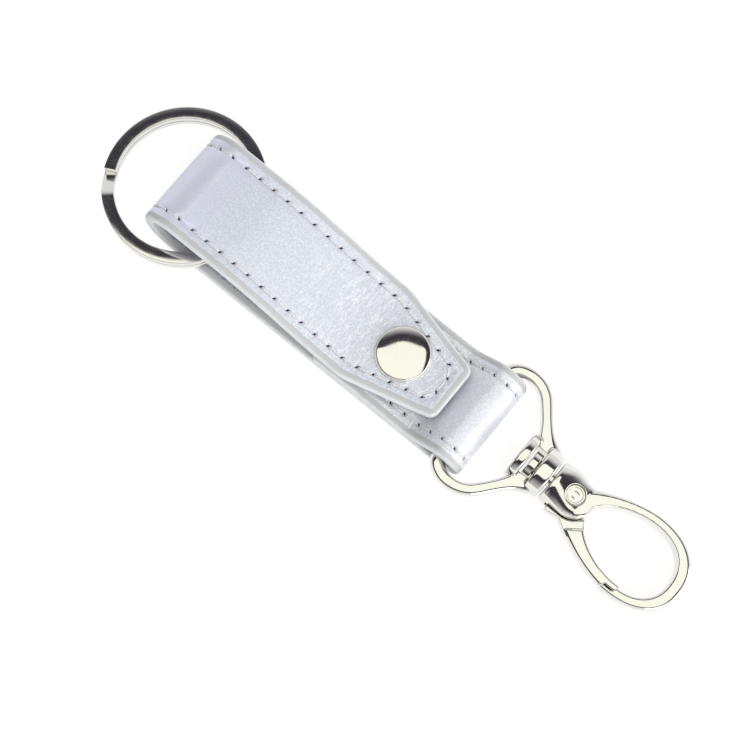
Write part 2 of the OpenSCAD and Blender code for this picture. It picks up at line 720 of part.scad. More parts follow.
// Torsion spring round the pin: one leg bears on the gate, the other on the end of the slot
spring_gap = 0.5;
spring_r = pin_r + spring_gap;
spring_turns = 2.25;
spring_leg_angle = -121;
spring_leg_l = sqrt(pow(heel_room_r - spring_wire_d, 2) - spring_r * spring_r);
spring_pitch = spring_wire_d + seat_gap / 2;
spring_from_z = seat_gap;
spring_steps = 14;
spring_coil = [for (i = [0 : ceil(spring_turns * spring_steps)])
    let (a = spring_leg_angle - 360 * i / spring_steps)
    [spring_r * cos(a), spring_r * sin(a),
     spring_from_z + spring_wire_d / 2 + spring_pitch * i / spring_steps]];
spring_far_a = spring_leg_angle - 360 * ceil(spring_turns * spring_steps) / spring_steps;
spring_near_leg = spring_coil[0] + spring_leg_l * [-sin(spring_leg_angle), cos(spring_leg_angle), 0];
spring_far_leg = spring_coil[len(spring_coil) - 1] + spring_leg_l * [sin(spring_far_a), -cos(spring_far_a), 0];
spring_path = concat([spring_near_leg], spring_coil, [spring_far_leg]);

module wire(path, r, sides = 6) {
    function frame(i) =
        let (t = unit(path[min(i + 1, len(path) - 1)] - path[max(i - 1, 0)]), u = unit(cross([0, 0, 1], t)))
        [u, cross(t, u)];
    polyhedron(
        [for (i = [0 : len(path) - 1], k = [0 : sides - 1])
            let (f = frame(i), a = 360 * k / sides) path[i] + r * (cos(a) * f[0] + sin(a) * f[1])],
        loft_faces(len(path), sides), convexity = 6);
}

module gate_spring() color(spring_steel) at_pin() wire(spring_path, spring_wire_d / 2);

// Gate
lever_in_r = cheek_r + slide_fit;
lever_end_share = 0.8;
root_share = 0.75;
arm_from = -142;
arm_to = -92;
tip_from = -104;
tip_to = -82;
tongue_from = -150;
tongue_to = -128;
root_to = -136;
web_from = -112;
web_to = -60;
function between(from, to, i) = from + (to - from) * i / gate_steps;
arm_angles = [for (i = [0 : gate_steps]) between(arm_to, arm_from, i)];
tip_angles = [for (i = [0 : gate_steps]) between(tip_to, tip_from, i)];
tongue_angles = [for (i = [0 : gate_steps]) between(tongue_from, tongue_to, i)];
root_angles = [for (i = [0 : corner_steps]) tongue_from + (root_to - tongue_from) * i / corner_steps];

// In plan the lever runs along the barrel's side and round the cheek, and goes over into the gate's root
module lever_plan()
    difference() {
        polygon(concat(
            [[pin_x - lever_l, -lever_in_r],
             [pin_x - lever_l, -lever_in_r - lever_end_share * lever_t],
             [pin_x - lever_l + lever_t, -lever_in_r - lever_t]],
            [for (a = root_angles) hook_out(a, gate_out_inset)],
            [for (a = flip(root_angles)) hook_in(a, gate_in_inset)],
            [[pin_x, 0]]));
        translate([pin_x, 0]) circle(lever_in_r);
        translate([0, -lever_in_r]) square([pin_x, barrel_d]);
    }

module ring_sector(r0, r1, from, to)
    polygon(concat(arc([0, 0], r1, from, to, 2 * corner_steps), arc([0, 0], r0, to, from, 2 * corner_steps)));

module tongue_plan()
    union() {
        translate([pin_x, 0]) circle(heel_r);
        translate([pin_x, 0]) ring_sector(heel_r / 2, lever_in_r + lever_t / 2, web_from, web_to);
        polygon(concat([[pin_x, 0]],
            [for (a = tongue_angles) hook_in(a, gate_in_inset)],
            [for (a = flip(tongue_angles)) hook_out(a, gate_out_inset)]));
    }

module arm_between(angles)
    cast_bar([for (a = angles) hook_in(a, gate_in_inset)], [for (a = angles) hook_out(a, gate_out_inset)],
             [for (a = angles) gate_t / 2], [for (a = angles) bar_section], [for (a = angles) bar_lean_share]);

module gate()
    color(nickel)
        hung()
            difference() {
                union() {
                    linear_extrude(tongue_t, center = true) tongue_plan();
                    linear_extrude(gate_t * root_share, center = true) lever_plan();
                    difference() {
                        intersection() {
                            arm_between(arm_angles);
                            translate([pin_x, 0, 0]) cylinder(r = gate_end_r, h = gate_t, center = true);
                        }
                        translate([pin_x, 0, 0]) cylinder(r = step_r, h = gate_t, center = true);
                    }
                    intersection() {
                        cast_bar([for (a = tip_angles) hook_in(a, gate_in_inset)],
                                 [for (a = tip_angles) lap_mid(a, slide_fit / 2)],
                                 [for (a = tip_angles) gate_t / 2], [for (a = tip_angles) bar_section],
                                 [for (a = tip_angles) bar_lean_share]);
                        translate([pin_x, 0, 0]) cylinder(r = tip_end_r, h = gate_t, center = true);
                    }
                }
                translate([pin_x, 0, 0]) {
                    cylinder(r = pin_r + running_fit, h = gate_t, center = true);
                    cylinder(r = heel_room_r, h = gate_t);
                }
            }

module placed() translate([-mid_x, 0, 0]) children();

placed() strap_outer();
placed() strap_lining();
placed() snap_rivet();
placed() snap_stud();
placed() flap_outer();
placed() flap_lining();
placed() snap_cap();
placed() snap_socket();
placed() snap_spring();
placed() split_ring();
placed() swivel_eye();
placed() swivel_pin();
placed() hook_body();
placed() gate_pin();
placed() gate_spring();
placed() gate();
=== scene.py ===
import bmesh
import bpy
import numpy as np
from mathutils import Matrix


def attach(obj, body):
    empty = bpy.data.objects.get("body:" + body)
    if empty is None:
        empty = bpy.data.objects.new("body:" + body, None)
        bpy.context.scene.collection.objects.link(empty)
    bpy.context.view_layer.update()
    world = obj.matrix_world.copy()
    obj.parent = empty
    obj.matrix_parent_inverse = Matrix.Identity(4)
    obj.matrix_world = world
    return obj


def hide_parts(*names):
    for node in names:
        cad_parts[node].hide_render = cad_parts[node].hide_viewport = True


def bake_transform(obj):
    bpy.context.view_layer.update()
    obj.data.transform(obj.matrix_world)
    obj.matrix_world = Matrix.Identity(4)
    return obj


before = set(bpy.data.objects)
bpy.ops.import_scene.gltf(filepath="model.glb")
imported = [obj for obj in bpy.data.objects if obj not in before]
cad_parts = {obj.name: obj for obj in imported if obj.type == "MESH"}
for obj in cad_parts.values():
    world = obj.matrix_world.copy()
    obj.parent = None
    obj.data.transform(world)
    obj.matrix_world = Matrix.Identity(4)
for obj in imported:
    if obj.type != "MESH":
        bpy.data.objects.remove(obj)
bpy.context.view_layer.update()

# Camera
# The clip is seen from above and a little from its open side, through a long lens,
# so that it runs across the picture from the key ring at the upper left to the hook at the lower right.
camera = bpy.data.objects.new("camera", bpy.data.cameras.new("camera"))
bpy.context.scene.collection.objects.link(camera)
camera.data.lens, camera.data.sensor_width = 96.47, 36
camera.data.clip_start, camera.data.clip_end = 0.01, 20
camera.matrix_world = Matrix((
    (0.77397, -0.62466, 0.10375, 0.03574),
    (0.63218, 0.75286, -0.18319, -0.06997),
    (0.03632, 0.20737, 0.97759, 0.34989),
    (0, 0, 0, 1)))
bpy.context.scene.camera = camera

# Strap
# One strip of pearl-coated leather and one of lining, glued together, with a thick painted edge.
# It is folded round the key ring at the top and round the swivel's bar below, and its tail lies on the back.

# Shapes are worked out in millimetres from the upper fold's end, and mid_x is where the frame's middle lies.
# Places on the flat strip are kept in a UV map whose unit is flat_unit millimetres.
mid_x, mm, flat_unit = 50.0302, 0.001, 100
strap_half_w, strap_corner_r = 10, 1.2
outer_ply, lining_ply = 1.2, 1
strip_t = outer_ply + lining_ply
top_r, low_r, low_x = 7, 4.6, 66.9
tail_z, tail_slope, tail_end_x = 4.46, 7.9, 38.3
path_step, strap_pole = 0.1, 8


class Wire:
    """An output of a node. Sums, differences and products of wires and numbers add Math nodes."""

    def __init__(self, tree, socket=None):
        self.tree, self.socket = tree, socket

    def node(self, kind, settings, sockets, out=0):
        """Adds a node: first its settings, then the values or wires of its sockets."""
        made = self.tree.nodes.new("ShaderNode" + kind)
        for name, value in settings.items():
            setattr(made, name, value)
        for name, value in sockets.items():
            if isinstance(value, Wire):
                self.tree.links.new(value.socket, made.inputs[name])
            elif isinstance(value, tuple) and made.inputs[name].type == "RGBA":
                made.inputs[name].default_value = (*value, 1)
            else:
                made.inputs[name].default_value = value
        return Wire(self.tree, made.outputs[out])

    def math(self, operation, *values):
        """A Math node on wires and numbers, in their order."""
        return self.node("Math", {"operation": operation}, dict(enumerate(values)))

    def __add__(self, other):
        return self.math("ADD", self, other)

    def __sub__(self, other):
        return self.math("SUBTRACT", self, other)

    def __rsub__(self, other):
        return self.math("SUBTRACT", other, self)

    def __mul__(self, other):
        return self.math("MULTIPLY", self, other)

    def __abs__(self):
        return self.math("ABSOLUTE", self)

    __radd__, __rmul__ = __add__, __mul__

    def axis(self, number):
        """One number of a vector: 0, 1 or 2 for x, y or z."""
        return self.node("SeparateXYZ", {}, {0: self}, number)

    def times(self, scale):
        """A vector made longer by a number."""
        return self.node("VectorMath", {"operation": "SCALE"}, {0: self, "Scale": scale})

    def step(self, low, high, to_low=0, to_high=1):
        """Goes smoothly from one value to another as the wire goes from low to high."""
        sockets = {0: self, 1: low, 2: high, 3: to_low, 4: to_high}
        return self.node("MapRange", {"interpolation_type": "SMOOTHSTEP"}, sockets)

    def noise(self, scale, detail=2, stretch=(1, 1, 1), rough=0.5):
        """Soft noise on the wire's places, with scale bumps to one unit of length."""
        place = self.node("Mapping", {}, {"Vector": self, "Scale": stretch})
        sockets = {"Vector": place, "Scale": scale, "Detail": detail, "Roughness": rough}
        return self.node("TexNoise", {}, sockets)

    def mix(self, a, b):
        """Colour a where the wire is 0 and colour b where it is 1."""
        return self.node("Mix", {"data_type": "RGBA"}, {0: self, 6: a, 7: b}, 2)

    def bump(self, height, below=None):
        """A relief as high as height, in millimetres, where the wire is 1, on top of another relief."""
        sockets = {"Height": self, "Distance": height * mm, "Strength": 1}
        return self.node("Bump", {}, sockets | ({"Normal": below} if below else {}))


def material(name, **fixed):
    """A new material: the wire that starts its nodes, and its main shader with fixed values set."""
    made = bpy.data.materials.new(name)
    made.use_nodes = True
    shader = made.node_tree.nodes["Principled BSDF"]
    for socket, value in fixed.items():
        shader.inputs[socket.replace("_", " ")].default_value = value
    return made, Wire(made.node_tree), shader


def feed(shader, **wires):
    """Leads wires into sockets of the main shader."""
    for socket, wire in wires.items():
        wire.tree.links.new(wire.socket, shader.inputs[socket.replace("_", " ")])


def tinted(colour, share):
    """A colour whose three numbers are multiplied by one share."""
    return tuple(v * share for v in colour)


def ease(t):
    """0 to 1 along half a wave, level at both ends: half of 1 less the cosine."""
    return (1 - np.cos(np.pi * np.clip(t, 0, 1))) / 2


def arc(centre, r, start, stop, n):
    """n points of a circle from one angle to another, in degrees."""
    a = np.radians(np.linspace(start, stop, n))
    return np.c_[centre[0] + r * np.cos(a), centre[1] + r * np.sin(a)]


def laid_along(path, side):
    """The function that lays a flat strip along a path seen from the side: a point goes to the path's place
    at its run, and then inwards along the path's normal by its depth. Also the path's length."""
    run = np.r_[0, np.cumsum(np.hypot(*np.diff(path, axis=0).T))]
    ahead = np.gradient(path, run, axis=0)
    normal = side * np.c_[ahead[:, 1], -ahead[:, 0]] / np.hypot(*ahead.T)[:, None]

    def lay(flat, depth):
        """Where a flat point at a depth lies on the path."""
        x, z, nx, nz = (np.interp(flat[..., 0], run, v) for v in (*path.T, *normal.T))
        return np.stack([x - depth * nx, flat[..., 1], z - depth * nz], -1)
    return lay, run[-1]


def edge_line(corners, radii, inset, spacing):
    """A strip's outline in the flat, moved inwards: straight runs joined by round corners.
    A corner's centre is a radius inwards from where its bend starts, the radius times the tangent of
    half the turn before the corner. The number of points is the same at every inset."""
    least_r, bend_points = 0.4, 13
    corners = np.array(corners, float)
    ahead = np.diff(corners, axis=0)
    length = np.hypot(*ahead.T)
    ahead /= length[:, None]
    inward = np.c_[-ahead[:, 1], ahead[:, 0]]
    line, start = [], corners[0] + inset * inward[0]
    for i, radius in enumerate(radii):
        r = max(radius - inset, least_r)
        turn = np.arccos(np.clip(ahead[i] @ ahead[i + 1], -1, 1))
        corner = corners[i + 1] + inset * (inward[i] + inward[i + 1]) / (1 + inward[i] @ inward[i + 1])
        centre = corner - ahead[i] * r * np.tan(turn / 2) + inward[i] * r
        facing = np.degrees(np.arctan2(-inward[i][1], -inward[i][0]))
        bend = arc(centre, r, facing, facing + np.degrees(turn), bend_points)
        line += [np.linspace(start, bend[0], int(length[i] / spacing), endpoint=False), bend[:-1]]
        start = bend[-1]
    end = corners[-1] + inset * inward[-1]
    return np.vstack([*line, np.linspace(start, end, int(length[-1] / spacing) + 1)])


def piece(name, points, faces, surface, sharp=180, values=None, flat=None, weld=0.002):
    """A mesh from points in millimetres. Points closer than weld are merged, holes are closed,
    and values and flat places are kept as attributes and as a UV map."""
    mesh = bpy.data.meshes.new(name)
    points = np.reshape(points, (-1, 3))
    mesh.from_pydata(points, [], faces)
    for key, value in (values or {}).items():
        kept = mesh.attributes.new(key, "FLOAT", "POINT")
        kept.data.foreach_set("value", np.ravel(value).astype(np.float32))
    if flat is not None:
        corner = np.zeros(len(mesh.loops), np.int32)
        mesh.loops.foreach_get("vertex_index", corner)
        places = np.reshape(flat, (-1, 2))[corner] / flat_unit
        mesh.uv_layers.new(name="flat").data.foreach_set("uv", places.ravel())
    work = bmesh.new()
    work.from_mesh(mesh)
    bmesh.ops.remove_doubles(work, verts=work.verts, dist=weld)
    bmesh.ops.holes_fill(work, edges=[e for e in work.edges if e.is_boundary], sides=0)
    bmesh.ops.recalc_face_normals(work, faces=work.faces)
    work.to_mesh(mesh)
    work.free()
    mesh.transform(Matrix.Scale(mm, 4) @ Matrix.Translation((-mid_x, 0, 0)))
    mesh.shade_smooth()
    if sharp < 180:
        mesh.set_sharp_from_angle(angle=np.radians(sharp))
    mesh.materials.append(surface)
    made = bpy.data.objects.new(name, mesh)
    bpy.context.scene.collection.objects.link(made)
    return made


def grid_faces(rows, columns, around=False):
    """Quads between neighbouring rows and columns of a grid, closed around its columns if wanted."""
    index = np.arange(rows * columns).reshape(rows, columns)
    right = np.roll(index, -1, axis=1)
    keep = columns if around else columns - 1
    quads = np.stack([index[:-1], index[1:], right[1:], right[:-1]], -1)[:, :keep]
    return quads.reshape(-1, 4).tolist()


# The sewing runs in a groove that it pulls into the leather, this far from the edge.
# The needle leaves a slanted hole where two stitches meet, and the leather puckers round it.
sewing_inset, stitch_l, first_stitch = 2.73, 3.15, 0.65
groove_depth, groove_w, pull_depth, pull_w = 0.1, 0.3, 0.07, 0.9
needle_l, needle_w, needle_slant, needle_depth = 0.4, 0.19, 0.6, 0.45
pucker_depth, pucker_w, needle_reach = 0.06, 0.8 ** 0.5, 2
edge_round, lining_round, paint_slope, paint_w = 0.6, 0.5, 0.2, 1.7
edge_rows, sewing_rows = np.arange(0.8, 2.2, 0.25), np.arange(2.3, 3.2, 0.1)
middle_shares = np.array([0.05, 0.12, 0.22, 0.36, 0.55, 0.77, 1])
strip_spacing, edge_bend_points = 0.22, 6


def pressed(d, round_r):
    """Depth of a face at distance d from the strip's edge: a quarter circle, a slope that falls off
    as a square, and two bell curves round the sewing."""
    corner = round_r - np.sqrt(np.maximum(round_r ** 2 - np.clip(round_r - d, 0, None) ** 2, 0))
    slope = paint_slope * np.clip(1 - d / paint_w, 0, 1) ** 2
    off = d - sewing_inset
    groove = groove_depth * np.exp(-(off / groove_w) ** 2) + pull_depth * np.exp(-(off / pull_w) ** 2)
    return corner + slope + groove


def seam(corners, radii, first):
    """Places of the needle holes, evenly apart along the strip's edge, and the sewing's direction there."""
    spacing, reach = 0.3, 0.2
    line = edge_line(corners, radii, sewing_inset, spacing)
    run = np.r_[0, np.cumsum(np.hypot(*np.diff(line, axis=0).T))]
    count = round((run[-1] - 2 * first) / stitch_l)
    at = np.linspace(first, run[-1] - first, count + 1)

    def on_line(where):
        """Points of the line at the given runs."""
        return np.stack([np.interp(where, run, line[:, i]) for i in (0, 1)], -1)
    ahead = on_line(at + reach) - on_line(at - reach)
    return on_line(at), ahead / np.hypot(*ahead.T)[:, None]


def sewn_ply(name, corners, radii, lay, holes, pole, is_lining, surface):
    """One ply in the flat: rows of points from its face's middle out to its edge and back along the glue.
    Each row follows the outline at one inset, and past the sewing the rows close up towards the middle line,
    which ends at the pole. A needle hole is a bell curve on an ellipse turned by the needle's slant."""
    face_depth, to_face, round_r = (strip_t, -1, lining_round) if is_lining else (0, 1, edge_round)
    bend = round_r * (1 - np.cos(np.radians(np.linspace(0, 90, edge_bend_points))))
    insets = np.r_[bend, edge_rows, sewing_rows]
    lines = [edge_line(corners, radii, d, strip_spacing) for d in insets]
    inner = lines[-1]
    middle = np.c_[np.minimum(inner[:, 0], pole), 0 * inner[:, 0]]
    face = lines + [inner + f * (middle - inner) for f in middle_shares]
    flat = np.array(face[::-1] + [face[0], inner, middle])
    depths = pressed(insets, round_r)
    depths = np.r_[depths, depths[-1] * (1 - middle_shares) ** 4]
    depth = np.r_[depths[::-1], 0, 0, 0][:, None] * np.ones(flat.shape[:2])
    rim = np.r_[np.r_[insets + edge_round, 4 + 6 * middle_shares][::-1], 0, 0, 0]
    needle = np.zeros(flat.shape[:2])
    c, s = np.cos(needle_slant), np.sin(needle_slant)
    for place, ahead in zip(*holes):
        near = np.nonzero((np.abs(flat - place) < needle_reach).all(-1))
        off = flat[near] - place
        along = np.array([c * ahead[0] - s * ahead[1], s * ahead[0] + c * ahead[1]])
        across = np.array([-along[1], along[0]])
        q = ((off @ along) / needle_l) ** 2 + ((off @ across) / needle_w) ** 2
        depth[near] += needle_depth * np.exp(-q) + pucker_depth * np.exp(-(off ** 2).sum(-1) / pucker_w ** 2)
        needle[near] = np.maximum(needle[near], np.exp(-q ** 2 * 0.6))
    depth = face_depth + to_face * depth
    depth[-3:] = outer_ply
    needle[-3:] = 0
    points = lay(flat, depth).transpose(1, 0, 2)
    values = {"rim": np.broadcast_to(rim, (len(points), len(rim))), "needle": needle.T}
    return piece(name, points, grid_faces(*points.shape[:2]), surface, 50, values, flat.transpose(1, 0, 2))


def pearl(name, colour, fold_colour, creased, folded):
    """Pearl-coated leather. A warped cell pattern and fine noise make the grain, which is darker where it
    is high. Thin lines where stretched noise crosses its middle value are creases: they come up along the
    stretch creased, stay past it and are faint before it. The colour turns to the fold's along the stretch
    folded. The attribute rim, the distance from the glue line in the strip's side, divides the edge paint
    into a side coloured paler, as painted light, and a band coloured darker, as painted shade. The
    attribute needle marks the holes, which are coloured almost black, as painted shade."""
    cell_per_mm, pore_per_mm, mica_per_mm, crease_per_mm = 2.8, 3.2, 6, 0.62
    grain_h, swell_h, crease_h = 0.06, 0.06, 0.05
    shade_band_from, shade_band_to, skin_from, ragged = 0.7, 1.2, 1.95, 0.4
    # The edge paint is one grey: its side is coloured paler, as painted light, and its band on the face
    # darker, as painted shade.
    lit_side_paint, shaded_band_paint, worn_paint = (0.72, 0.74, 0.76), (0.48, 0.48, 0.50), (0.62, 0.62, 0.63)
    # The needle holes are coloured almost black, as painted shade in the holes.
    white, painted_hole_shade = (1.0, 1.0, 1.0), (0.045, 0.03, 0.04)
    made, start, shader = material(name, IOR=1.45)
    place = start.node("UVMap", {"uv_map": "flat"}, {}).times(flat_unit)
    run = place.axis(0)
    rim = start.node("Attribute", {"attribute_name": "rim"}, {}, 2)
    needle = start.node("Attribute", {"attribute_name": "needle"}, {}, 2)
    rim = rim + place.noise(0.7, 2) * ragged - ragged / 2
    paint = rim.step(skin_from, skin_from - 0.15)
    bent = run.step(*folded)
    wander = start.node("TexNoise", {}, {"Vector": place, "Scale": 1.5}, 1)
    warped = start.node("VectorMath", {"operation": "ADD"}, {0: place, 1: wander})
    cells = start.node("TexVoronoi", {"feature": "SMOOTH_F1"},
                       {"Vector": warped, "Scale": cell_per_mm, "Smoothness": 0.25})
    grain = cells * 0.9 + place.noise(pore_per_mm, 2) * 0.45
    off_middle = place.noise(crease_per_mm, 3, (1.7, 0.42, 1), 0.55) * 2 - 1
    strength = run.step(*creased) * place.noise(0.16, 2).step(0.3, 0.5) * 0.92 + 0.08
    crease = (1 - abs(off_middle)).step(0.9, 1) * strength * (1 - paint)
    mica = place.noise(mica_per_mm, 1).step(0.5, 0.75)
    tone = (grain - crease * 0.3).step(0.25, 0.85)
    skin = bent.mix(tone.mix(tinted(colour, 1.09), tinted(colour, 0.88)),
                    tone.mix(fold_colour, tinted(fold_colour, 0.93)))
    skin = (mica * 0.4 + crease * 0.4).mix(skin, white)
    # Painted light and shade: the edge's side takes the paler grey and its band on the face the darker one.
    edge = rim.step(shade_band_from, shade_band_to).mix(lit_side_paint, shaded_band_paint)
    edge = (place.noise(0.5, 3) * 0.4).mix(edge, worn_paint)
    # The holes are painted almost black, as painted shade.
    shade = needle.step(0.35, 0.75).mix(paint.mix(skin, edge), painted_hole_shade)
    relief = grain * (1 - bent * 0.6) * (1 - paint) + place.noise(0.7, 2) * paint * 0.3
    normal = (place.noise(0.35, 2) * (1 - paint)).bump(swell_h, relief.bump(grain_h))
    normal = (crease * 0.6 + paint).bump(crease_h, normal)
    feed(shader, Base_Color=shade, Normal=normal,
         Metallic=(1 - paint) * (1 - needle) * (0.35 + mica * 0.45),
         Roughness=(0.34 + grain * 0.1) * (1 - paint) + paint * 0.6)
    return made


tail_x = np.linspace(path_step, tail_slope, 80)
strap_path = np.vstack([
    arc((top_r, top_r), top_r, 90, 270, 200),
    np.linspace((top_r + path_step, 0), (low_x - path_step, 0), 300),
    arc((low_x, low_r), low_r, -90, 90, 150),
    np.c_[low_x - tail_x, 2 * low_r - (2 * low_r - tail_z) * ease(tail_x / tail_slope)],
    np.linspace((low_x - tail_slope - path_step, tail_z), (tail_end_x, tail_z), 60)])
on_strap, strap_l = laid_along(strap_path, 1)
strap_corners = [(0, -strap_half_w), (strap_l, -strap_half_w), (strap_l, strap_half_w), (0, strap_half_w)]
strap_radii = (strap_corner_r, strap_corner_r)
strap_holes = seam(strap_corners, strap_radii, first_stitch)
top_fold_l = np.pi * top_r
low_fold_s = top_fold_l + low_x - top_r
strap_folded = (top_fold_l + 3, top_fold_l - 2)
everywhere = (-2, -1)
# The strap's leather colours are painted lighter than the flap's, which is the same leather: painted light on
# the tail, the back and the lower fold's crest.
strap_leather = pearl("strap_leather", (0.80, 0.82, 0.89), (0.74, 0.76, 0.90),
                      (low_fold_s + 18, low_fold_s + 24), strap_folded)
# The lining is a blue-grey, and its colour is painted darker still, as painted shade inside the loop.
strap_lining = pearl("strap_lining", (0.40, 0.42, 0.48), (0.38, 0.40, 0.47), everywhere, strap_folded)
for name, is_lining, slot in (("strap_leather", False, "leather"), ("strap_lining_leather", True, "lining")):
    ply = sewn_ply(name, strap_corners, strap_radii, on_strap, strap_holes, strap_l - strap_pole, is_lining,
                   strap_lining if is_lining else strap_leather)
    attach(ply, "strap")
    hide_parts("strap_lining" if is_lining else "strap_outer")

# Flap
# The same two plies past the fold.
# The end is cut to a taper with small round corners, and the sewing follows it.
flap_len, taper_l, tip_half_w, tip_corner_r = 62.3, 17.3, 5.5, 1.8
flap_level_x, flap_seat_x, tip_rise_x = 16, 45.9, 56.1
flap_seat_z, tip_lift = 8.56, 0.4
flap_first_stitch, flap_pole, hinge_l = 2.5, 7.5, 9


def flap_z(x):
    """Height of the flap's face: level, then down to the snap, level there, and up a little at the tip."""
    fall = 2 * top_r - (2 * top_r - flap_seat_z) * ease((x - flap_level_x) / (flap_seat_x - flap_level_x))
    return fall + tip_lift * ease((x - tip_rise_x) / (flap_len - tip_rise_x))


flap_x = np.linspace(top_r, flap_len, 500)
on_flap, flap_l = laid_along(np.c_[flap_x, flap_z(flap_x)], -1)
flap_corners = [(0, -strap_half_w), (flap_l - taper_l, -strap_half_w), (flap_l, -tip_half_w),
                (flap_l, tip_half_w), (flap_l - taper_l, strap_half_w), (0, strap_half_w)]
flap_radii = (taper_l / 2, tip_corner_r, tip_corner_r, taper_l / 2)
flap_holes = seam(flap_corners, flap_radii, flap_first_stitch)
flap_folded = (7, 0.5)
flap_leather = pearl("flap_leather", (0.71, 0.745, 0.84), (0.69, 0.71, 0.87), (16, 38), flap_folded)
# The flap's lining is a blue-grey, and its colour is painted darker still, as painted shade under the flap.
flap_lining = pearl("flap_lining", (0.42, 0.44, 0.52), (0.42, 0.44, 0.54), everywhere, flap_folded)
for name, is_lining, slot in (("flap_leather", False, "leather"), ("flap_lining_leather", True, "lining")):
    ply = sewn_ply(name, flap_corners, flap_radii, on_flap, flap_holes, flap_l - flap_pole, is_lining,
                   flap_lining if is_lining else flap_leather)
    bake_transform(ply)
    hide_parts("flap_lining" if is_lining else "flap_outer")

# Sewing thread
# Waxed thread in long stitches, on both faces. Each stitch dips into the holes at its two ends,
# lies in the groove between them and is as long as the holes are apart.
thread_r, thread_sunk, thread_dip = 0.15, 0.1, 0.5
thread_points, thread_sides, thread_gap_share, thread_taper_share = 10, 8, 0.06, 0.5


def stitches(name, lay, holes, surface):
    """Tubes in the flat from hole to hole, then laid along the path: round sections whose radius shrinks
    with the sixth power and whose depth grows with the eighth power of the way from the stitch's middle."""
    start, end = holes[0][:-1], holes[0][1:]
    u = np.linspace(thread_gap_share, 1 - thread_gap_share, thread_points)[:, None, None]
    from_middle = np.abs(2 * u - 1)
    a = np.radians(np.arange(thread_sides) * 360 / thread_sides)[None, :, None]
    ahead = (end - start) / np.hypot(*(end - start).T)[:, None]
    across = np.stack([-ahead[:, 1], ahead[:, 0]], -1)
    r = thread_r * (1 - thread_taper_share * from_middle ** 6)
    flat = start + u[..., None] * (end - start) + (r * np.cos(a))[..., None] * across
    parts = []
    for top, to_face in ((0, 1), (strip_t, -1)):
        sunk = thread_sunk + thread_dip * from_middle ** 8 - r * np.sin(a)
        depth = top + to_face * sunk + 0 * flat[..., 0]
        parts.append(lay(flat, depth).transpose(2, 0, 1, 3))
    points = np.concatenate(parts)
    tube = np.array(grid_faces(thread_points, thread_sides, True))
    first = thread_points * thread_sides * np.arange(len(points))
    faces = (tube[None] + first[:, None, None]).reshape(-1, 4).tolist()
    along = stitch_l * np.arange(thread_points) / (thread_points - 1)
    around = np.arange(thread_sides) / thread_sides
    flat_places = np.stack(np.meshgrid(along, around, indexing="ij"), -1)
    flat_places = np.broadcast_to(flat_places, (len(points), *flat_places.shape))
    return piece(name, points, faces, surface, flat=flat_places, weld=0.0001)


def waxed_thread():
    """Two strands laid together, with a slight wax shine: the sine of an angle that grows along the thread,
    by so many radians a millimetre, and round it. The colour is painted darker where the strands dip, as
    painted shade between them."""
    twist_per_mm, strand_h = 9, 0.03
    made, start, shader = material("thread", IOR=1.5, Sheen_Weight=0.3)
    place = start.node("UVMap", {"uv_map": "flat"}, {}).times(flat_unit)
    angle = place.axis(0) * twist_per_mm + place.axis(1) * (2 * np.pi)
    strand = angle.math("SINE", angle) * 0.5 + 0.5
    # Painted shade: the thread's colour is darker where the strands dip between each other.
    feed(shader, Base_Color=strand.mix((0.68, 0.66, 0.70), (0.80, 0.78, 0.80)), Normal=strand.bump(strand_h),
         Roughness=strand * 0.15 + 0.4)
    return made


thread = waxed_thread()
strap_thread = stitches("strap_thread", on_strap, strap_holes, thread)
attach(strap_thread, "strap")
flap_thread = stitches("flap_thread", on_flap, flap_holes, thread)
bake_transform(flap_thread)

# Snap
# A domed cap of drawn sheet is riveted through the flap to the socket under it. The stud and the rivet
# with the wide flat head close the lower loop through the tail and the back. All are nickel-plated brass.
snap_x, turned_sides = 51, 96
snap_under = flap_seat_z - strip_t


def nickel(name, base, rough, ripple, specks):
    """Polished nickel plate: slow noise as high as ripple, in millimetres, is the unevenness of the metal
    under it, middling noise clouds the polish, fine noise makes specks and stretched noise scratches."""
    speck_h = 0.006
    made, start, shader = material(name, Metallic=1.0)
    place = start.node("TexCoord", {}, {}, 3).times(1 / mm)
    cloud = place.noise(0.5, 3)
    fine = place.noise(7, 2).step(0.62, 0.8)
    scratch = place.noise(1.5, 2, (0.5, 6, 3)).step(0.6, 0.75)
    normal = place.noise(0.42, 1).bump(ripple, (fine * specks + scratch * 0.05).bump(speck_h))
    feed(shader, Base_Color=(cloud * 0.6).mix(base, tinted(base, 0.94)), Normal=normal,
         Roughness=cloud.step(0.3, 0.7, rough, rough * 1.7) + fine * 0.06)
    return made


def turned(name, profile, rise):
    """A profile of radii and heights turned once round the snap's upright axis: the radius times the cosine
    and the sine of the angle, from the axis."""
    r, z = profile.T
    a = np.linspace(0, 2 * np.pi, turned_sides, endpoint=False)[:, None]
    ring = np.stack([snap_x + r * np.cos(a), r * np.sin(a), rise + z + 0 * a], -1)
    return piece(name, np.vstack([ring, ring[:1]]), grid_faces(turned_sides + 1, len(r)), plate, 40)


def rounded(points, r):
    """A profile whose corners between its ends are rounded: each is the middle point of a curve of the
    second degree that reaches r from it, or less where a side is short."""
    longest_share, bend_points = 0.45, 5
    points = np.array(points, float)
    out = [points[0]]
    t = np.linspace(0, 1, bend_points)[:, None]
    for before, p, after in zip(points[:-2], points[1:-1], points[2:]):
        a, b = before - p, after - p
        reach = min(r, longest_share * np.hypot(*a), longest_share * np.hypot(*b))
        start, end = p + a / np.hypot(*a) * reach, p + b / np.hypot(*b) * reach
        out += list((1 - t) ** 2 * start + 2 * t * (1 - t) * p + t ** 2 * end)
    return np.array(out + [points[-1]])


plate = nickel("snap_nickel", (0.78, 0.76, 0.72), 0.05, 0.004, 0.5)

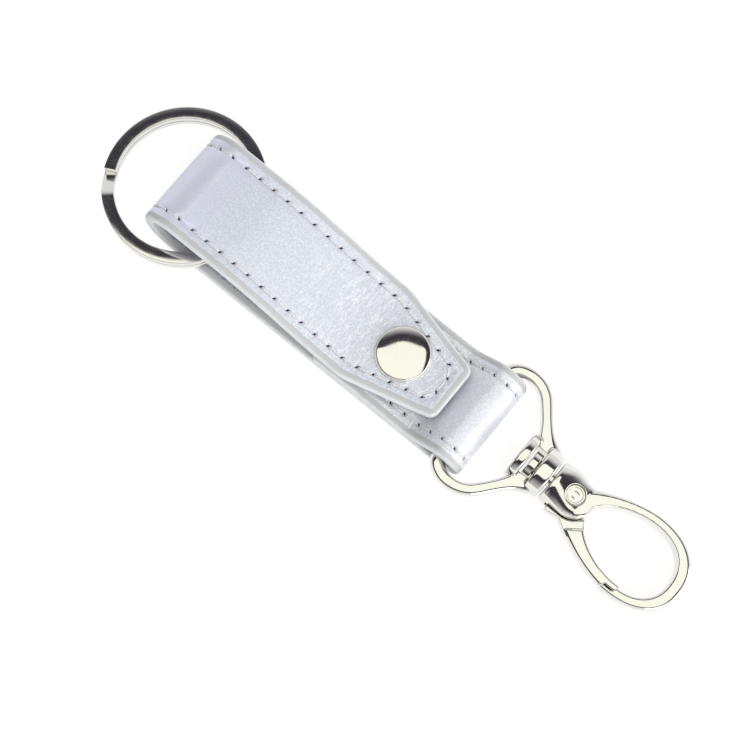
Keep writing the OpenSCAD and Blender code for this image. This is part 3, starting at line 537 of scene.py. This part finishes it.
# The cap's dome falls with a power of the radius. A round shoulder and a bead close it.
cap_r, cap_h, cap_fall, cap_power, crown_share = 5.1, 1.3, 0.62, 3.3, 0.9
shoulder_r, bead_r, crown_lean, shoulder_span = 0.45, 0.15, np.radians(17), (68, 20)
post_r, post_root_r, post_l, post_end_r, post_end_t = 1, 1.2, 2.51, 1.35, 0.16
crown = np.linspace(0, crown_share * cap_r, 30)
dome = np.c_[crown, cap_h - cap_fall * (crown / cap_r) ** cap_power]
shoulder_at = dome[-1] - shoulder_r * np.array([np.sin(crown_lean), np.cos(crown_lean)])
shoulder = arc(shoulder_at, shoulder_r, *shoulder_span, 10)
bead = arc((cap_r - bead_r, bead_r), bead_r, 100, -90, 12)
post_end = -post_l - post_end_t
post = rounded([
    (post_root_r, 0), (post_r, 0), (post_r, -post_l), (post_end_r, -post_l), (post_end_r, post_end),
    (0, post_end)], 0.05)
cap = turned("snap_cap_dome", np.vstack([dome, shoulder, bead, post]), flap_seat_z)

# The socket hangs from the flap's underside, and its lip keeps the spring in.
sheet_t, hole_r, pressed_r = 0.31, 1.02, 0.12
socket_r, socket_end_r, socket_edge = 4.1, 3.75, 0.35
mouth_r, inside_r, lip_t, socket_gap = 2.2, 2.55, 0.3, 0.45
socket_end = tail_z + socket_gap - snap_under
socket = turned("snap_socket_cup", rounded([
    (hole_r, 0), (socket_r, 0), (socket_r, -socket_edge), (socket_end_r, socket_end), (mouth_r, socket_end),
    (mouth_r, socket_end + lip_t), (inside_r, socket_end + lip_t), (inside_r, -sheet_t), (hole_r, -sheet_t),
    (hole_r, 0)], pressed_r), snap_under)

# The stud's head is wider than its neck, so that the spring snaps in under it.
stud_r, stud_edge, stud_t, stud_slope = 3.3, 0.25, 0.35, 0.35
neck_r, head_r, head_end_r, stud_h = 1.45, 1.85, 1.5, 1.37
head_low, head_wide, head_high, crown_t = stud_h - 0.6, stud_h - 0.42, stud_h - 0.2, 0.25
stud = turned("snap_stud_head", rounded([
    (hole_r, 0), (stud_r, 0), (stud_r, stud_edge), (stud_r - stud_slope, stud_t), (neck_r, stud_t),
    (neck_r, head_low), (head_r, head_wide), (head_r, head_high), (head_end_r, stud_h), (0, stud_h),
    (0, stud_h - crown_t), (hole_r, stud_h - crown_t), (hole_r, 0)], pressed_r), tail_z)

# The rivet's head stands a hair proud of the leather.
rivet_r, rivet_edge, rivet_t, rivet_proud = 4.5, 0.2, 0.6, 0.04
rivet_top = tail_z + 1.1
rivet = turned("snap_rivet_head", rounded([
    (0, 0), (rivet_r - rivet_edge, 0), (rivet_r, rivet_edge), (rivet_r, rivet_t), (post_r, rivet_t),
    (post_r, rivet_top), (0, rivet_top)], 0.1), -rivet_proud)
for part, body, node in ((cap, "flap", "snap_cap"), (socket, "flap", "snap_socket"),
                         (stud, "strap", "snap_stud"), (rivet, "strap", "snap_rivet")):
    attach(part, body)
    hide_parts(node)

# Key ring
# Flat steel wire wound twice round, with square-cut ends. Where the wire passes its own end it steps up
# by a little more than its thickness, so that both turns lie flat on each other.
ring_r, wire_w, wire_t, wire_edge, ring_x = 15, 2.3, 1.35, 0.2, 1
ring_cut, joggle, turn_pitch = 206, 22, 1.45
ring_tilt = np.radians(5.78)
ring_finish = nickel("ring_nickel", (0.76, 0.74, 0.71), 0.07, 0.002, 0.3)
turn = np.linspace(ring_cut + joggle - 360, ring_cut + 360, 560)[:, None]
wire_rise = turn_pitch * ease((turn - ring_cut) / joggle)

# The section with its round corners is carried round the circle and lifted by the step, then all is tilted.
outer, inner = ring_r - wire_edge, ring_r - wire_w + wire_edge
top, bottom = wire_t - wire_edge, wire_edge
section = np.vstack([arc(corner, wire_edge, a, a + 90, 6) for corner, a in (
    ((outer, top), 0), ((inner, top), 90), ((inner, bottom), 180), ((outer, bottom), 270))])
x, z = section[:, 0] * np.cos(np.radians(turn)), section[:, 1] + wire_rise
c, s = np.cos(ring_tilt), np.sin(ring_tilt)
around = section[:, 0] * np.sin(np.radians(turn))
wire = np.stack([ring_x + x * c - z * s, around, ring_r * s + x * s + z * c], -1)
ring = piece("key_ring_wire", wire, grid_faces(len(turn), len(section), True), ring_finish, 60, weld=0.0001)
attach(ring, "key_ring")
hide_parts("split_ring")

# Swivel eye
# One zinc casting: a bar inside the lower fold, two arms that close in to two collars, and a window
# between these. Its sections are rounded squares that turn round where the arms meet the bar.

# It and the hook are made along one axis from the bar, and then turned down by the droop, in radians.
bar_x, bar_z, droop = 67.06, 5.24, 0.04303654
bar_r, eye_w, eye_clear_w, eye_bulge, eye_t = 1.5, 26.4, 21.9, 4, 3.4
collar_x, upper_l, window_l, window_w, lower_l, collar_r, rim_r = 10.2, 1.9, 2.1, 5.6, 3, 4.5, 0.45
window_x = collar_x + upper_l
lower_x = window_x + window_l


def signed_power(v, p):
    """The size of v raised to the power p, with the sign of v."""
    return np.sign(v) * np.abs(v) ** p


def bar_between(inner, outer, half_t, squareness, lean=0.0, sides=44):
    """A bar from station to station: its section is a rounded square between an inner and an outer point,
    whose squareness p is two for an ellipse and more for flat sides. Its points are the cosine and the sine
    of the angle, each raised to 2 / p with its own sign. Its flat faces lean towards the inner side."""
    lean_power = 4.5
    half_t, p, lean = (np.broadcast_to(v, len(inner))[:, None] for v in (half_t, squareness, lean))
    a = 2 * np.pi * (np.arange(sides) + 0.5) / sides
    up = signed_power(np.sin(a), 2 / p)
    lean = lean * np.abs(up) ** lean_power
    across = signed_power(np.cos(a), 2 / p) * (1 - lean) - lean
    plan = ((inner + outer) / 2)[:, None] + ((outer - inner) / 2)[:, None] * across[..., None]
    return np.concatenate([plan, (half_t * up)[..., None]], -1).reshape(-1, 3), tube_faces(len(inner), sides)


def tube_faces(rings, sides):
    """Quads round a tube, and one face over each end."""
    ends = [list(range(sides))[::-1], list(range((rings - 1) * sides, rings * sides))]
    return grid_faces(rings, sides, True) + ends


def slab(plan, half_t):
    """A plate with the given plan, as thick above as below the middle."""
    plan = np.array(plan)
    points = np.vstack([np.c_[plan, np.full(len(plan), z)] for z in (-half_t, half_t)])
    return points, tube_faces(2, len(plan))


def drum(r, start, length, rim, sides=96):
    """A round drum on the swivel's axis: a profile with quarter circles at its rims, turned once round."""
    hair = 0.001
    profile = np.vstack([[start, hair], arc((start + rim, r - rim), rim, 180, 90, 6),
                         arc((start + length - rim, r - rim), rim, 90, 0, 6), [start + length, hair]])
    a = 2 * np.pi * np.arange(sides) / sides
    points = np.stack([profile[:, :1] + 0 * a, profile[:, 1:] * np.cos(a), profile[:, 1:] * np.sin(a)], -1)
    return points.reshape(-1, 3), tube_faces(len(profile), sides)


def pillar(centre, r, low, high):
    """An upright cylinder: a plate with a round plan, moved up to lie between two heights."""
    sides = 64
    points, faces = slab(arc(centre, r, 0, 360 - 360 / sides, sides), (high - low) / 2)
    return points + [0, 0, (high + low) / 2], faces


def bezier(a, b, c, d, n):
    """A curve of the third degree from a to d that starts towards b and arrives from c: the four points
    weighed by the four terms of the third power of (1 - t) + t."""
    a, b, c, d = (np.array(p) for p in (a, b, c, d))
    t = np.linspace(0, 1, n)[:, None]
    return (1 - t) ** 3 * a + 3 * (1 - t) ** 2 * t * b + 3 * (1 - t) * t ** 2 * c + t ** 3 * d


def solid(parts):
    """Closed shells in millimetres as one working mesh object."""
    points, faces, count = [], [], 0
    for part_points, part_faces in parts:
        points.append(part_points)
        faces += [[i + count for i in face] for face in part_faces]
        count += len(part_points)
    mesh = bpy.data.meshes.new("work")
    mesh.from_pydata(np.vstack(points), [], faces)
    work = bmesh.new()
    work.from_mesh(mesh)
    bmesh.ops.recalc_face_normals(work, faces=work.faces)
    work.to_mesh(mesh)
    work.free()
    made = bpy.data.objects.new("work", mesh)
    bpy.context.scene.collection.objects.link(made)
    return made


def hung(points):
    """From the swivel's own frame, whose origin is the bar, to the resting place: turned by the droop."""
    x, y, z = np.asarray(points).T
    c, s = np.cos(droop), np.sin(droop)
    return np.c_[bar_x + x * c + z * s, y, bar_z - x * s + z * c]


def cast(name, shells, cuts, surface, voxel=0.112, smooth=5):
    """A casting: the shells flow into one skin of small cells, the cuts are taken away, the skin is made
    anew, and its edges are softened by moving each point halfway to its neighbours' mean."""
    work = solid(shells)
    cutters = [solid([cut]) for cut in cuts]
    melt = work.modifiers.new("melt", "REMESH")
    melt.mode, melt.voxel_size = "VOXEL", voxel
    for cutter in cutters:
        cut = work.modifiers.new("cut", "BOOLEAN")
        cut.operation, cut.object, cut.solver = "DIFFERENCE", cutter, "EXACT"
    if cutters:
        melt = work.modifiers.new("melt_again", "REMESH")
        melt.mode, melt.voxel_size = "VOXEL", voxel
    soft = work.modifiers.new("soft", "SMOOTH")
    soft.factor, soft.iterations = 0.5, smooth
    bpy.context.view_layer.update()
    mesh = bpy.data.meshes.new_from_object(work.evaluated_get(bpy.context.evaluated_depsgraph_get()))
    points = np.zeros(len(mesh.vertices) * 3)
    mesh.vertices.foreach_get("co", points)
    faces = [list(p.vertices) for p in mesh.polygons]
    for left in (work, *cutters):
        bpy.data.objects.remove(left)
    return piece(name, hung(points.reshape(-1, 3)), faces, surface, weld=1e-6)


# The arms' outlines in plan, each in three stretches: a quarter ellipse from the bar, a round bend out to
# the flare, and a curve in to the collars.
arm_corner, outer_bend, flank_out, root_points = 1.55, 7, 0.6, 24
flare, flank, flare_pull_share, flank_pull_share = np.radians(50), np.radians(20), 0.54, 0.44
arm_square, face_lean = 3.5, 0.16
corner_y = eye_clear_w / 2 - arm_corner
arm_w = (eye_w - eye_clear_w) / 2
inner_bend = outer_bend - arm_w
flank_end = np.array([lower_x + flank_out + rim_r, collar_r + flank_out])
root_a = np.radians(np.linspace(180, 90, root_points))
bend_a = np.linspace(0, flare, 20)[1:]
bend_way = np.array([np.sin(flare), np.cos(flare)])
outer_end = np.array([eye_bulge, eye_w / 2 - outer_bend]) + outer_bend * bend_way
inner_end = np.array([eye_bulge, eye_clear_w / 2 - inner_bend]) + inner_bend * bend_way
flare_run = flank_end[0] - outer_end[0]
eye_outer = np.vstack([
    np.c_[eye_bulge + (eye_bulge + bar_r) * np.cos(root_a),
          corner_y + (eye_w / 2 - corner_y) * np.sin(root_a)],
    np.c_[eye_bulge + outer_bend * np.sin(bend_a), eye_w / 2 - outer_bend + outer_bend * np.cos(bend_a)],
    bezier(outer_end, outer_end + flare_pull_share * flare_run * np.array([np.cos(flare), -np.sin(flare)]),
           flank_end + flank_pull_share * flare_run * np.array([-np.cos(flank), np.sin(flank)]),
           flank_end, 30)[1:],
    [flank_end + (2 * rim_r, -rim_r)]])
eye_inner = np.vstack([
    np.c_[eye_bulge + (eye_bulge - bar_r) * np.cos(root_a),
          corner_y + (eye_clear_w / 2 - corner_y) * np.sin(root_a)],
    np.c_[eye_bulge + inner_bend * np.sin(bend_a), eye_clear_w / 2 - inner_bend + inner_bend * np.cos(bend_a)],
    bezier(inner_end, inner_end + (collar_x - inner_end[0]) / 2 * np.array([1, -np.tan(flare)]),
           (collar_x, collar_r + arm_w), (window_x, window_w / 2 - rim_r), 30)[1:],
    [(lower_x + rim_r, window_w / 2 - rim_r)]])
turn_in = ease(np.minimum(1, np.arange(len(eye_outer)) / root_points))
arm_half_t = bar_r + (eye_t / 2 - bar_r) * turn_in
eye_arms = [bar_between(eye_inner * [1, side], eye_outer * [1, side], arm_half_t, 2 + arm_square * turn_in,
                        face_lean * turn_in) for side in (1, -1)]
bar_points, bar_faces = drum(bar_r, -corner_y, 2 * corner_y, 0.05)
eye_bar = (bar_points[:, [1, 0, 2]], bar_faces)

# The window is cut through between the collars, and each collar has its bore for the pin.
overrun, through, bore_rim = 1, 6, 0.1
upper_bore_r, lower_bore_r = 1.5, 1.55
half_window = window_w / 2
window = slab([(window_x, -half_window), (lower_x, -half_window), (lower_x, half_window),
               (window_x, half_window)], through)
upper_bore = drum(upper_bore_r, collar_x - overrun, upper_l + 2 * overrun, bore_rim)
lower_bore = drum(lower_bore_r, lower_x - overrun, lower_l + 2 * overrun, bore_rim)
casting = nickel("hook_nickel", (0.78, 0.76, 0.72), 0.05, 0.006, 0.4)
collars = [drum(collar_r, collar_x, upper_l, rim_r), drum(collar_r, lower_x, lower_l, rim_r)]
eye = cast("swivel_eye_casting", [*eye_arms, eye_bar, *collars], [window, upper_bore, lower_bore], casting)
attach(eye, "swivel_eye")
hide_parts("swivel_eye")

# Swivel pin
# A headed steel pin, pressed into the hook's barrel. Its head shows in the eye's window and turns there.
pin_head_r, pin_head_l, pin_head_back, pin_head_rim = 2.4, 1.5, 1.6, 0.12
shank_r, shank_l, shank_back, shank_rim = 1.5, 6.35, 0.8, 0.1
pin = cast("swivel_pin_turned", [
    drum(pin_head_r, lower_x - pin_head_back, pin_head_l, pin_head_rim),
    drum(shank_r, lower_x - shank_back, shank_l, shank_rim)], [], casting, voxel=0.08, smooth=2)
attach(pin, "hook")
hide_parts("swivel_pin")

# Hook
# One zinc casting: a round barrel that flattens into two cheeks, and a pear-shaped hook. Its nose is
# notched for the gate's tip. The gate's slot is cut through between the cheeks.
pin_x, hook_x, barrel_l, barrel_r = 22.35, 17.6, 2.4, 4.2
hook_mid, hook_side, hook_w, nose_l, bar_w, end_w, hook_t = 36.45, 1.4, 16.8, 10.8, 1.9, 2.7, 4
cheek_r, neck_y, cheek_t, gate_pin_x = 4.2, 3.3, 5.5, 4.75
nose_square, outer_drawn, inner_drawn, bar_square = 2.3, 1.5, 1.75, 6.5
outer_back, inner_back, inner_shift, inner_sweep = 16.9, 11, 0.4, 1.36
outer_half, inner_half = hook_w / 2, hook_w / 2 - bar_w
pin_at = np.array([pin_x, 0])


def pear(a, shift, front, back, half_w, drawn):
    """A closed curve in plan, blunt at the far end and drawn out towards the barrel: a rounded square, the
    cosine and the sine raised to 2 / squareness, whose two ends have their own reach and squareness."""
    c, s = np.cos(np.radians(a)), np.sin(np.radians(a))
    p = 2 / np.where(c > 0, nose_square, drawn)
    x = hook_mid + shift + np.where(c > 0, front, back) * signed_power(c, p)
    return np.stack([x, -hook_side + half_w * signed_power(s, p)], -1)


def hook_out(a, inset=0):
    """The hook's outer curve, moved inwards by the inset."""
    return pear(a, 0, nose_l - inset, outer_back - inset, outer_half - inset, outer_drawn)


def hook_in(a, inset=0):
    """The hook's inner curve, moved inwards. Past 90 degrees its angle runs ahead of the outer one's,
    so that the two stay opposite each other."""
    swept = np.where(np.abs(a) > 90, np.sign(a) * (90 + (np.abs(a) - 90) * inner_sweep), a)
    front = nose_l - end_w - inner_shift - inset
    return pear(swept, inner_shift, front, inner_back - inset, inner_half - inset, inner_drawn)


# The curved bar starts in the cheeks, thickens into them over the thicken degrees and ends at the nose.
root_angle, nose_angle, thicken = 156, -104, 56
hook_a = np.linspace(root_angle, nose_angle, 200)
hook_half_t = hook_t / 2 + (cheek_t - hook_t) / 2 * ease(np.clip((hook_a - 90) / thicken, 0, 1))
hook_ring = bar_between(hook_in(hook_a), hook_out(hook_a), hook_half_t, bar_square, face_lean)

# The barrel and the cheeks are one loft along the axis: an upper and a lower outline, a round rim, and a
# thickness and squareness that go evenly from the barrel's to the cheeks'.
flat_from, flat_l, cheek_square = 0.9, 5.6, 2.5
places = np.r_[0, 0.06, 0.16, 0.3, rim_r, np.linspace(rim_r, gate_pin_x + cheek_r - rim_r, 60)[1:]]
rim_in = rim_r - np.sqrt(np.maximum(rim_r ** 2 - np.clip(rim_r - places, 0, None) ** 2, 0))
flattening = np.clip((places - flat_from) / flat_l, 0, 1)
upper = barrel_r + (neck_y - barrel_r) * ease((places - barrel_l) / gate_pin_x)
lower = np.where(places < gate_pin_x, barrel_r + (cheek_r - barrel_r) * places / gate_pin_x,
                 np.sqrt(np.maximum(cheek_r ** 2 - (places - gate_pin_x) ** 2, 0)))
hook_neck = bar_between(np.c_[hook_x + places, rim_in - lower], np.c_[hook_x + places, upper - rim_in],
                        barrel_r - rim_in - (barrel_r - cheek_t / 2) * flattening,
                        2 + cheek_square * flattening, sides=72)

# The cuts: the slot between the cheeks, the way of the gate's end past the nose, the notch in the nose
# along the middle line between the two curves, and the seats of the pin's heads.
lap_angle, lap_span, lap_l, fit, cut_half = -99.0, (-112, -80), 1.5, 0.12, 5
slot_reach, slot_back_r, slot_half, way_y = 6.2, 2.5, 1.1, 5.2
slot_span, slot_back_span = (-128, -2), (-2, 232)
seat_r, seat_floor, seat_end = 1.85, 2.25, 5.25
gate_end_r = np.hypot(*(hook_out(np.array(lap_angle)) - pin_at))
tip_end_r = gate_end_r + lap_l
slot = slab(np.vstack([
    arc(pin_at, slot_reach, *slot_span, 30), arc(pin_at, slot_back_r, *slot_back_span, 40)]), slot_half)
low_a = np.degrees(np.arcsin(-way_y / (gate_end_r + fit)))
clear = slab(np.vstack([arc(pin_at, gate_end_r + fit, -90, low_a, 40), [pin_at + (0, -way_y)]]), cut_half)
lap_a = np.linspace(*lap_span, 60)
toward = hook_in(lap_a) - hook_out(lap_a)
toward /= np.hypot(*toward.T)[:, None]
lap_mid = (hook_out(lap_a) + hook_in(lap_a)) / 2
notch_line, notch_far = lap_mid - fit / 2 * toward, lap_mid + bar_w * toward
within = np.hypot(*(notch_line - pin_at).T) < tip_end_r + fit
within_far = np.hypot(*(notch_far - pin_at).T) < tip_end_r + fit
lap_cut = slab(np.vstack([notch_line[within], notch_far[within_far][::-1]]), cut_half)
seat_spans = ((seat_floor, seat_end), (-seat_end, -seat_floor))
seats = [pillar(pin_at, seat_r, low, high) for low, high in seat_spans]
hook = cast("hook_casting", [hook_ring, hook_neck], [slot, clear, lap_cut, *seats], casting)
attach(hook, "hook")
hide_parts("hook_body")

# Gate pin
# A rivet through both cheeks. Its heads are set into round seats and stamped with a ring.
# Half the profile of radii and heights is mirrored, and the whole is turned once round.
rivet_head_r, rivet_shank_r, rivet_rim_h, rivet_sides = 1.75, 0.9, 2.72, 72
dimple_h, dimple_edge_r, dimple_edge_h = 2.62, 0.5, 2.68
groove_in_r, groove_mid_r, groove_out_r, groove_h = 0.72, 0.85, 1.36, 2.5
half = rounded([
    (0, dimple_h), (dimple_edge_r, dimple_edge_h), (groove_in_r, groove_h), (groove_mid_r, groove_h),
    (groove_out_r, groove_h), (1.4, rivet_rim_h), (1.7, rivet_rim_h), (rivet_head_r, 2.6),
    (rivet_head_r, seat_floor), (rivet_shank_r, seat_floor), (rivet_shank_r, 0)], 0.06)
r, z = np.vstack([half, (half * [1, -1])[::-1]]).T
a = np.linspace(0, 2 * np.pi, rivet_sides + 1)[:, None]
pin_ring = np.stack([pin_x + r * np.cos(a), r * np.sin(a), z + 0 * a], -1)
pin_faces = grid_faces(rivet_sides + 1, len(r))
gate_pin = piece("gate_pin_rivet", hung(pin_ring.reshape(-1, 3)), pin_faces, casting, 40)
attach(gate_pin, "hook")
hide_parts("gate_pin")

# Gate
# A small casting that turns on the pin: a tongue between the cheeks, a thumb lever beside the barrel,
# an arm with the hook's own section, and a thin tip that laps over the nose's notch.
out_inset, in_inset, gate_t = 0.15, 0.5, 3.8
lever_r, lever_t, lever_l, lever_tip_t = cheek_r + fit, 0.8, 2.8, 0.64
tongue_half, eyelet_r, gate_bore_r, spring_room_r, through_gate = 1, 2.3, 0.95, 2.5, 3
end_span, root_span, tip_span, tip_root_angle = (-80, -130), (-120, -170), (-60, -100), -106
lever_span, tongue_span, lever_share = (-150, -136), (-150, -128), 0.375


def angle_at(curve, inset, radius, start, stop):
    """The angle at which a curve of the hook is nearest to a given distance from the gate pin, out of
    4000 angles tried."""
    tried = np.linspace(start, stop, 4000)
    return tried[np.argmin(np.abs(np.hypot(*(curve(tried, inset) - pin_at).T) - radius))]


arm_in, arm_out = (np.linspace(angle_at(curve, inset, gate_end_r, *end_span),
                               angle_at(curve, inset, slot_reach, *root_span), 60)
                   for curve, inset in ((hook_in, in_inset), (hook_out, out_inset)))
gate_arm = bar_between(hook_in(arm_in, in_inset), hook_out(arm_out, out_inset),
                       gate_t / 2, bar_square, face_lean)
tip_a = np.linspace(angle_at(hook_in, in_inset, tip_end_r, *tip_span), tip_root_angle, 30)
tip_toward = hook_in(tip_a) - hook_out(tip_a)
tip_toward /= np.hypot(*tip_toward.T)[:, None]
gate_tip = bar_between(hook_in(tip_a, in_inset), (hook_out(tip_a) + hook_in(tip_a)) / 2 + fit / 2 * tip_toward,
                       gate_t / 2, bar_square, face_lean)

# The lever's tip is cut off at a slope. Lever and tongue are plates that run into the arm's two curves.
lever_a = np.linspace(*lever_span, 12)
lever_x = pin_x - lever_l
root_plan = np.vstack([
    [(lever_x, -lever_r), (lever_x, -lever_r - lever_tip_t), (lever_x + lever_t, -lever_r - lever_t)],
    hook_out(lever_a, out_inset), hook_in(lever_a[::-1], in_inset), arc(pin_at, lever_r, -40, -90, 20)])
gate_root = slab(root_plan, gate_t * lever_share)
tongue_a = np.linspace(*tongue_span, 12)
tongue_plan = np.vstack([pin_at, hook_in(tongue_a, in_inset), hook_out(tongue_a[::-1], out_inset)])
tongue = slab(tongue_plan, tongue_half)
eyelet = pillar(pin_at, eyelet_r, -tongue_half, tongue_half)
gate_bore = pillar(pin_at, gate_bore_r, -through_gate, through_gate)
spring_room = pillar(pin_at, spring_room_r, 0, through_gate)
gate = cast("gate_casting", [gate_arm, gate_tip, gate_root, tongue, eyelet], [gate_bore, spring_room], casting)
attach(gate, "gate")
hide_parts("gate")

# Springs
# The snap's split ring of round wire in the socket, and the gate's torsion spring on the pin,
# both of hard-drawn steel. The solids are round wire already and only take the finish.
spring = nickel("spring_wire", (0.50, 0.50, 0.52), 0.2, 0.001, 0.3)
for name in ("snap_spring", "gate_spring"):
    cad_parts[name].data.materials.clear()
    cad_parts[name].data.materials.append(spring)

# Floor and light
# A pale matt floor that glows a little, under a soft studio: a wide warm lamp overhead, a dark ceiling round
# it, white walls down to the horizon and a brighter white panel past the hook. The plate shows all four.
floor_r, floor_drop, white = 6, 0.0002, (1, 1, 1, 1)
bpy.ops.mesh.primitive_circle_add(
    vertices=128, radius=floor_r, fill_type="NGON", location=(0, 0, -floor_drop))
floor = bpy.context.object
floor.name = "floor"
paper, start, shader = material("floor_paper", Roughness=0.9, Emission_Strength=0.72)
grain = start.node("TexCoord", {}, {}, 3).noise(900, 2)
feed(shader, Base_Color=grain.mix((0.36, 0.36, 0.36), (0.38, 0.38, 0.38)))
shader.inputs["Emission Color"].default_value = white
floor.data.materials.append(paper)

world = bpy.context.scene.world or bpy.data.worlds.new("studio")
bpy.context.scene.world = world
world.use_nodes = True
studio = Wire(world.node_tree)
way = studio.node("TexCoord", {}, {}, 0)
lamp_turn, lamp_corner = (0.774, 0.632), 0.1
lamp_middles, lamp_halves = (-0.09, -0.07), (0.46, 0.285)
lamp_light, panel_light = (1.26, 1.27, 1.16), (2.5, 2.5, 2.5)
ceiling_light, wall_light = (0.05, 0.047, 0.06), (0.93, 0.93, 0.95)


def past_lamp():
    """How far a direction lies outside the lamp's outline, a turned oblong with round corners. Along each
    side it is the distance past the half length, the two make a root of a sum of squares, and the
    corner's radius is taken off."""
    c, s = lamp_turn
    squares = []
    for axis, middle, half in zip(((c, s, 0), (-s, c, 0)), lamp_middles, lamp_halves):
        along = studio.node("VectorMath", {"operation": "DOT_PRODUCT"}, {0: way, 1: axis}, 1)
        past = studio.math("MAXIMUM", abs(along - middle) - half, 0)
        squares.append(past * past)
    return studio.math("SQRT", squares[0] + squares[1]) - lamp_corner


# The walls begin past the dark ceiling, and the panel stands in a wedge towards the hook.
off_lamp = past_lamp()
glow = off_lamp.step(0.14, 0.5).mix(ceiling_light, wall_light)
panel = (way.axis(0) - abs(way.axis(1)) * 0.9).step(0.12, 0.2) * off_lamp.step(0.27, 0.32)
glow = panel.mix(glow, panel_light)
glow = off_lamp.step(-0.02, 0.015).mix(lamp_light, glow)
world.node_tree.links.new(glow.socket, world.node_tree.nodes["Background"].inputs["Color"])
bpy.context.scene.view_settings.view_transform = "Standard"

# A weak, wide sun fills the shade. It doesn't show in the plate.
fill = bpy.data.objects.new("fill", bpy.data.lights.new("fill", "SUN"))
bpy.context.scene.collection.objects.link(fill)
fill.data.energy, fill.data.angle = 1.3, np.radians(60)
fill.rotation_euler = np.radians((12, 32, 0))
fill.visible_glossy = False
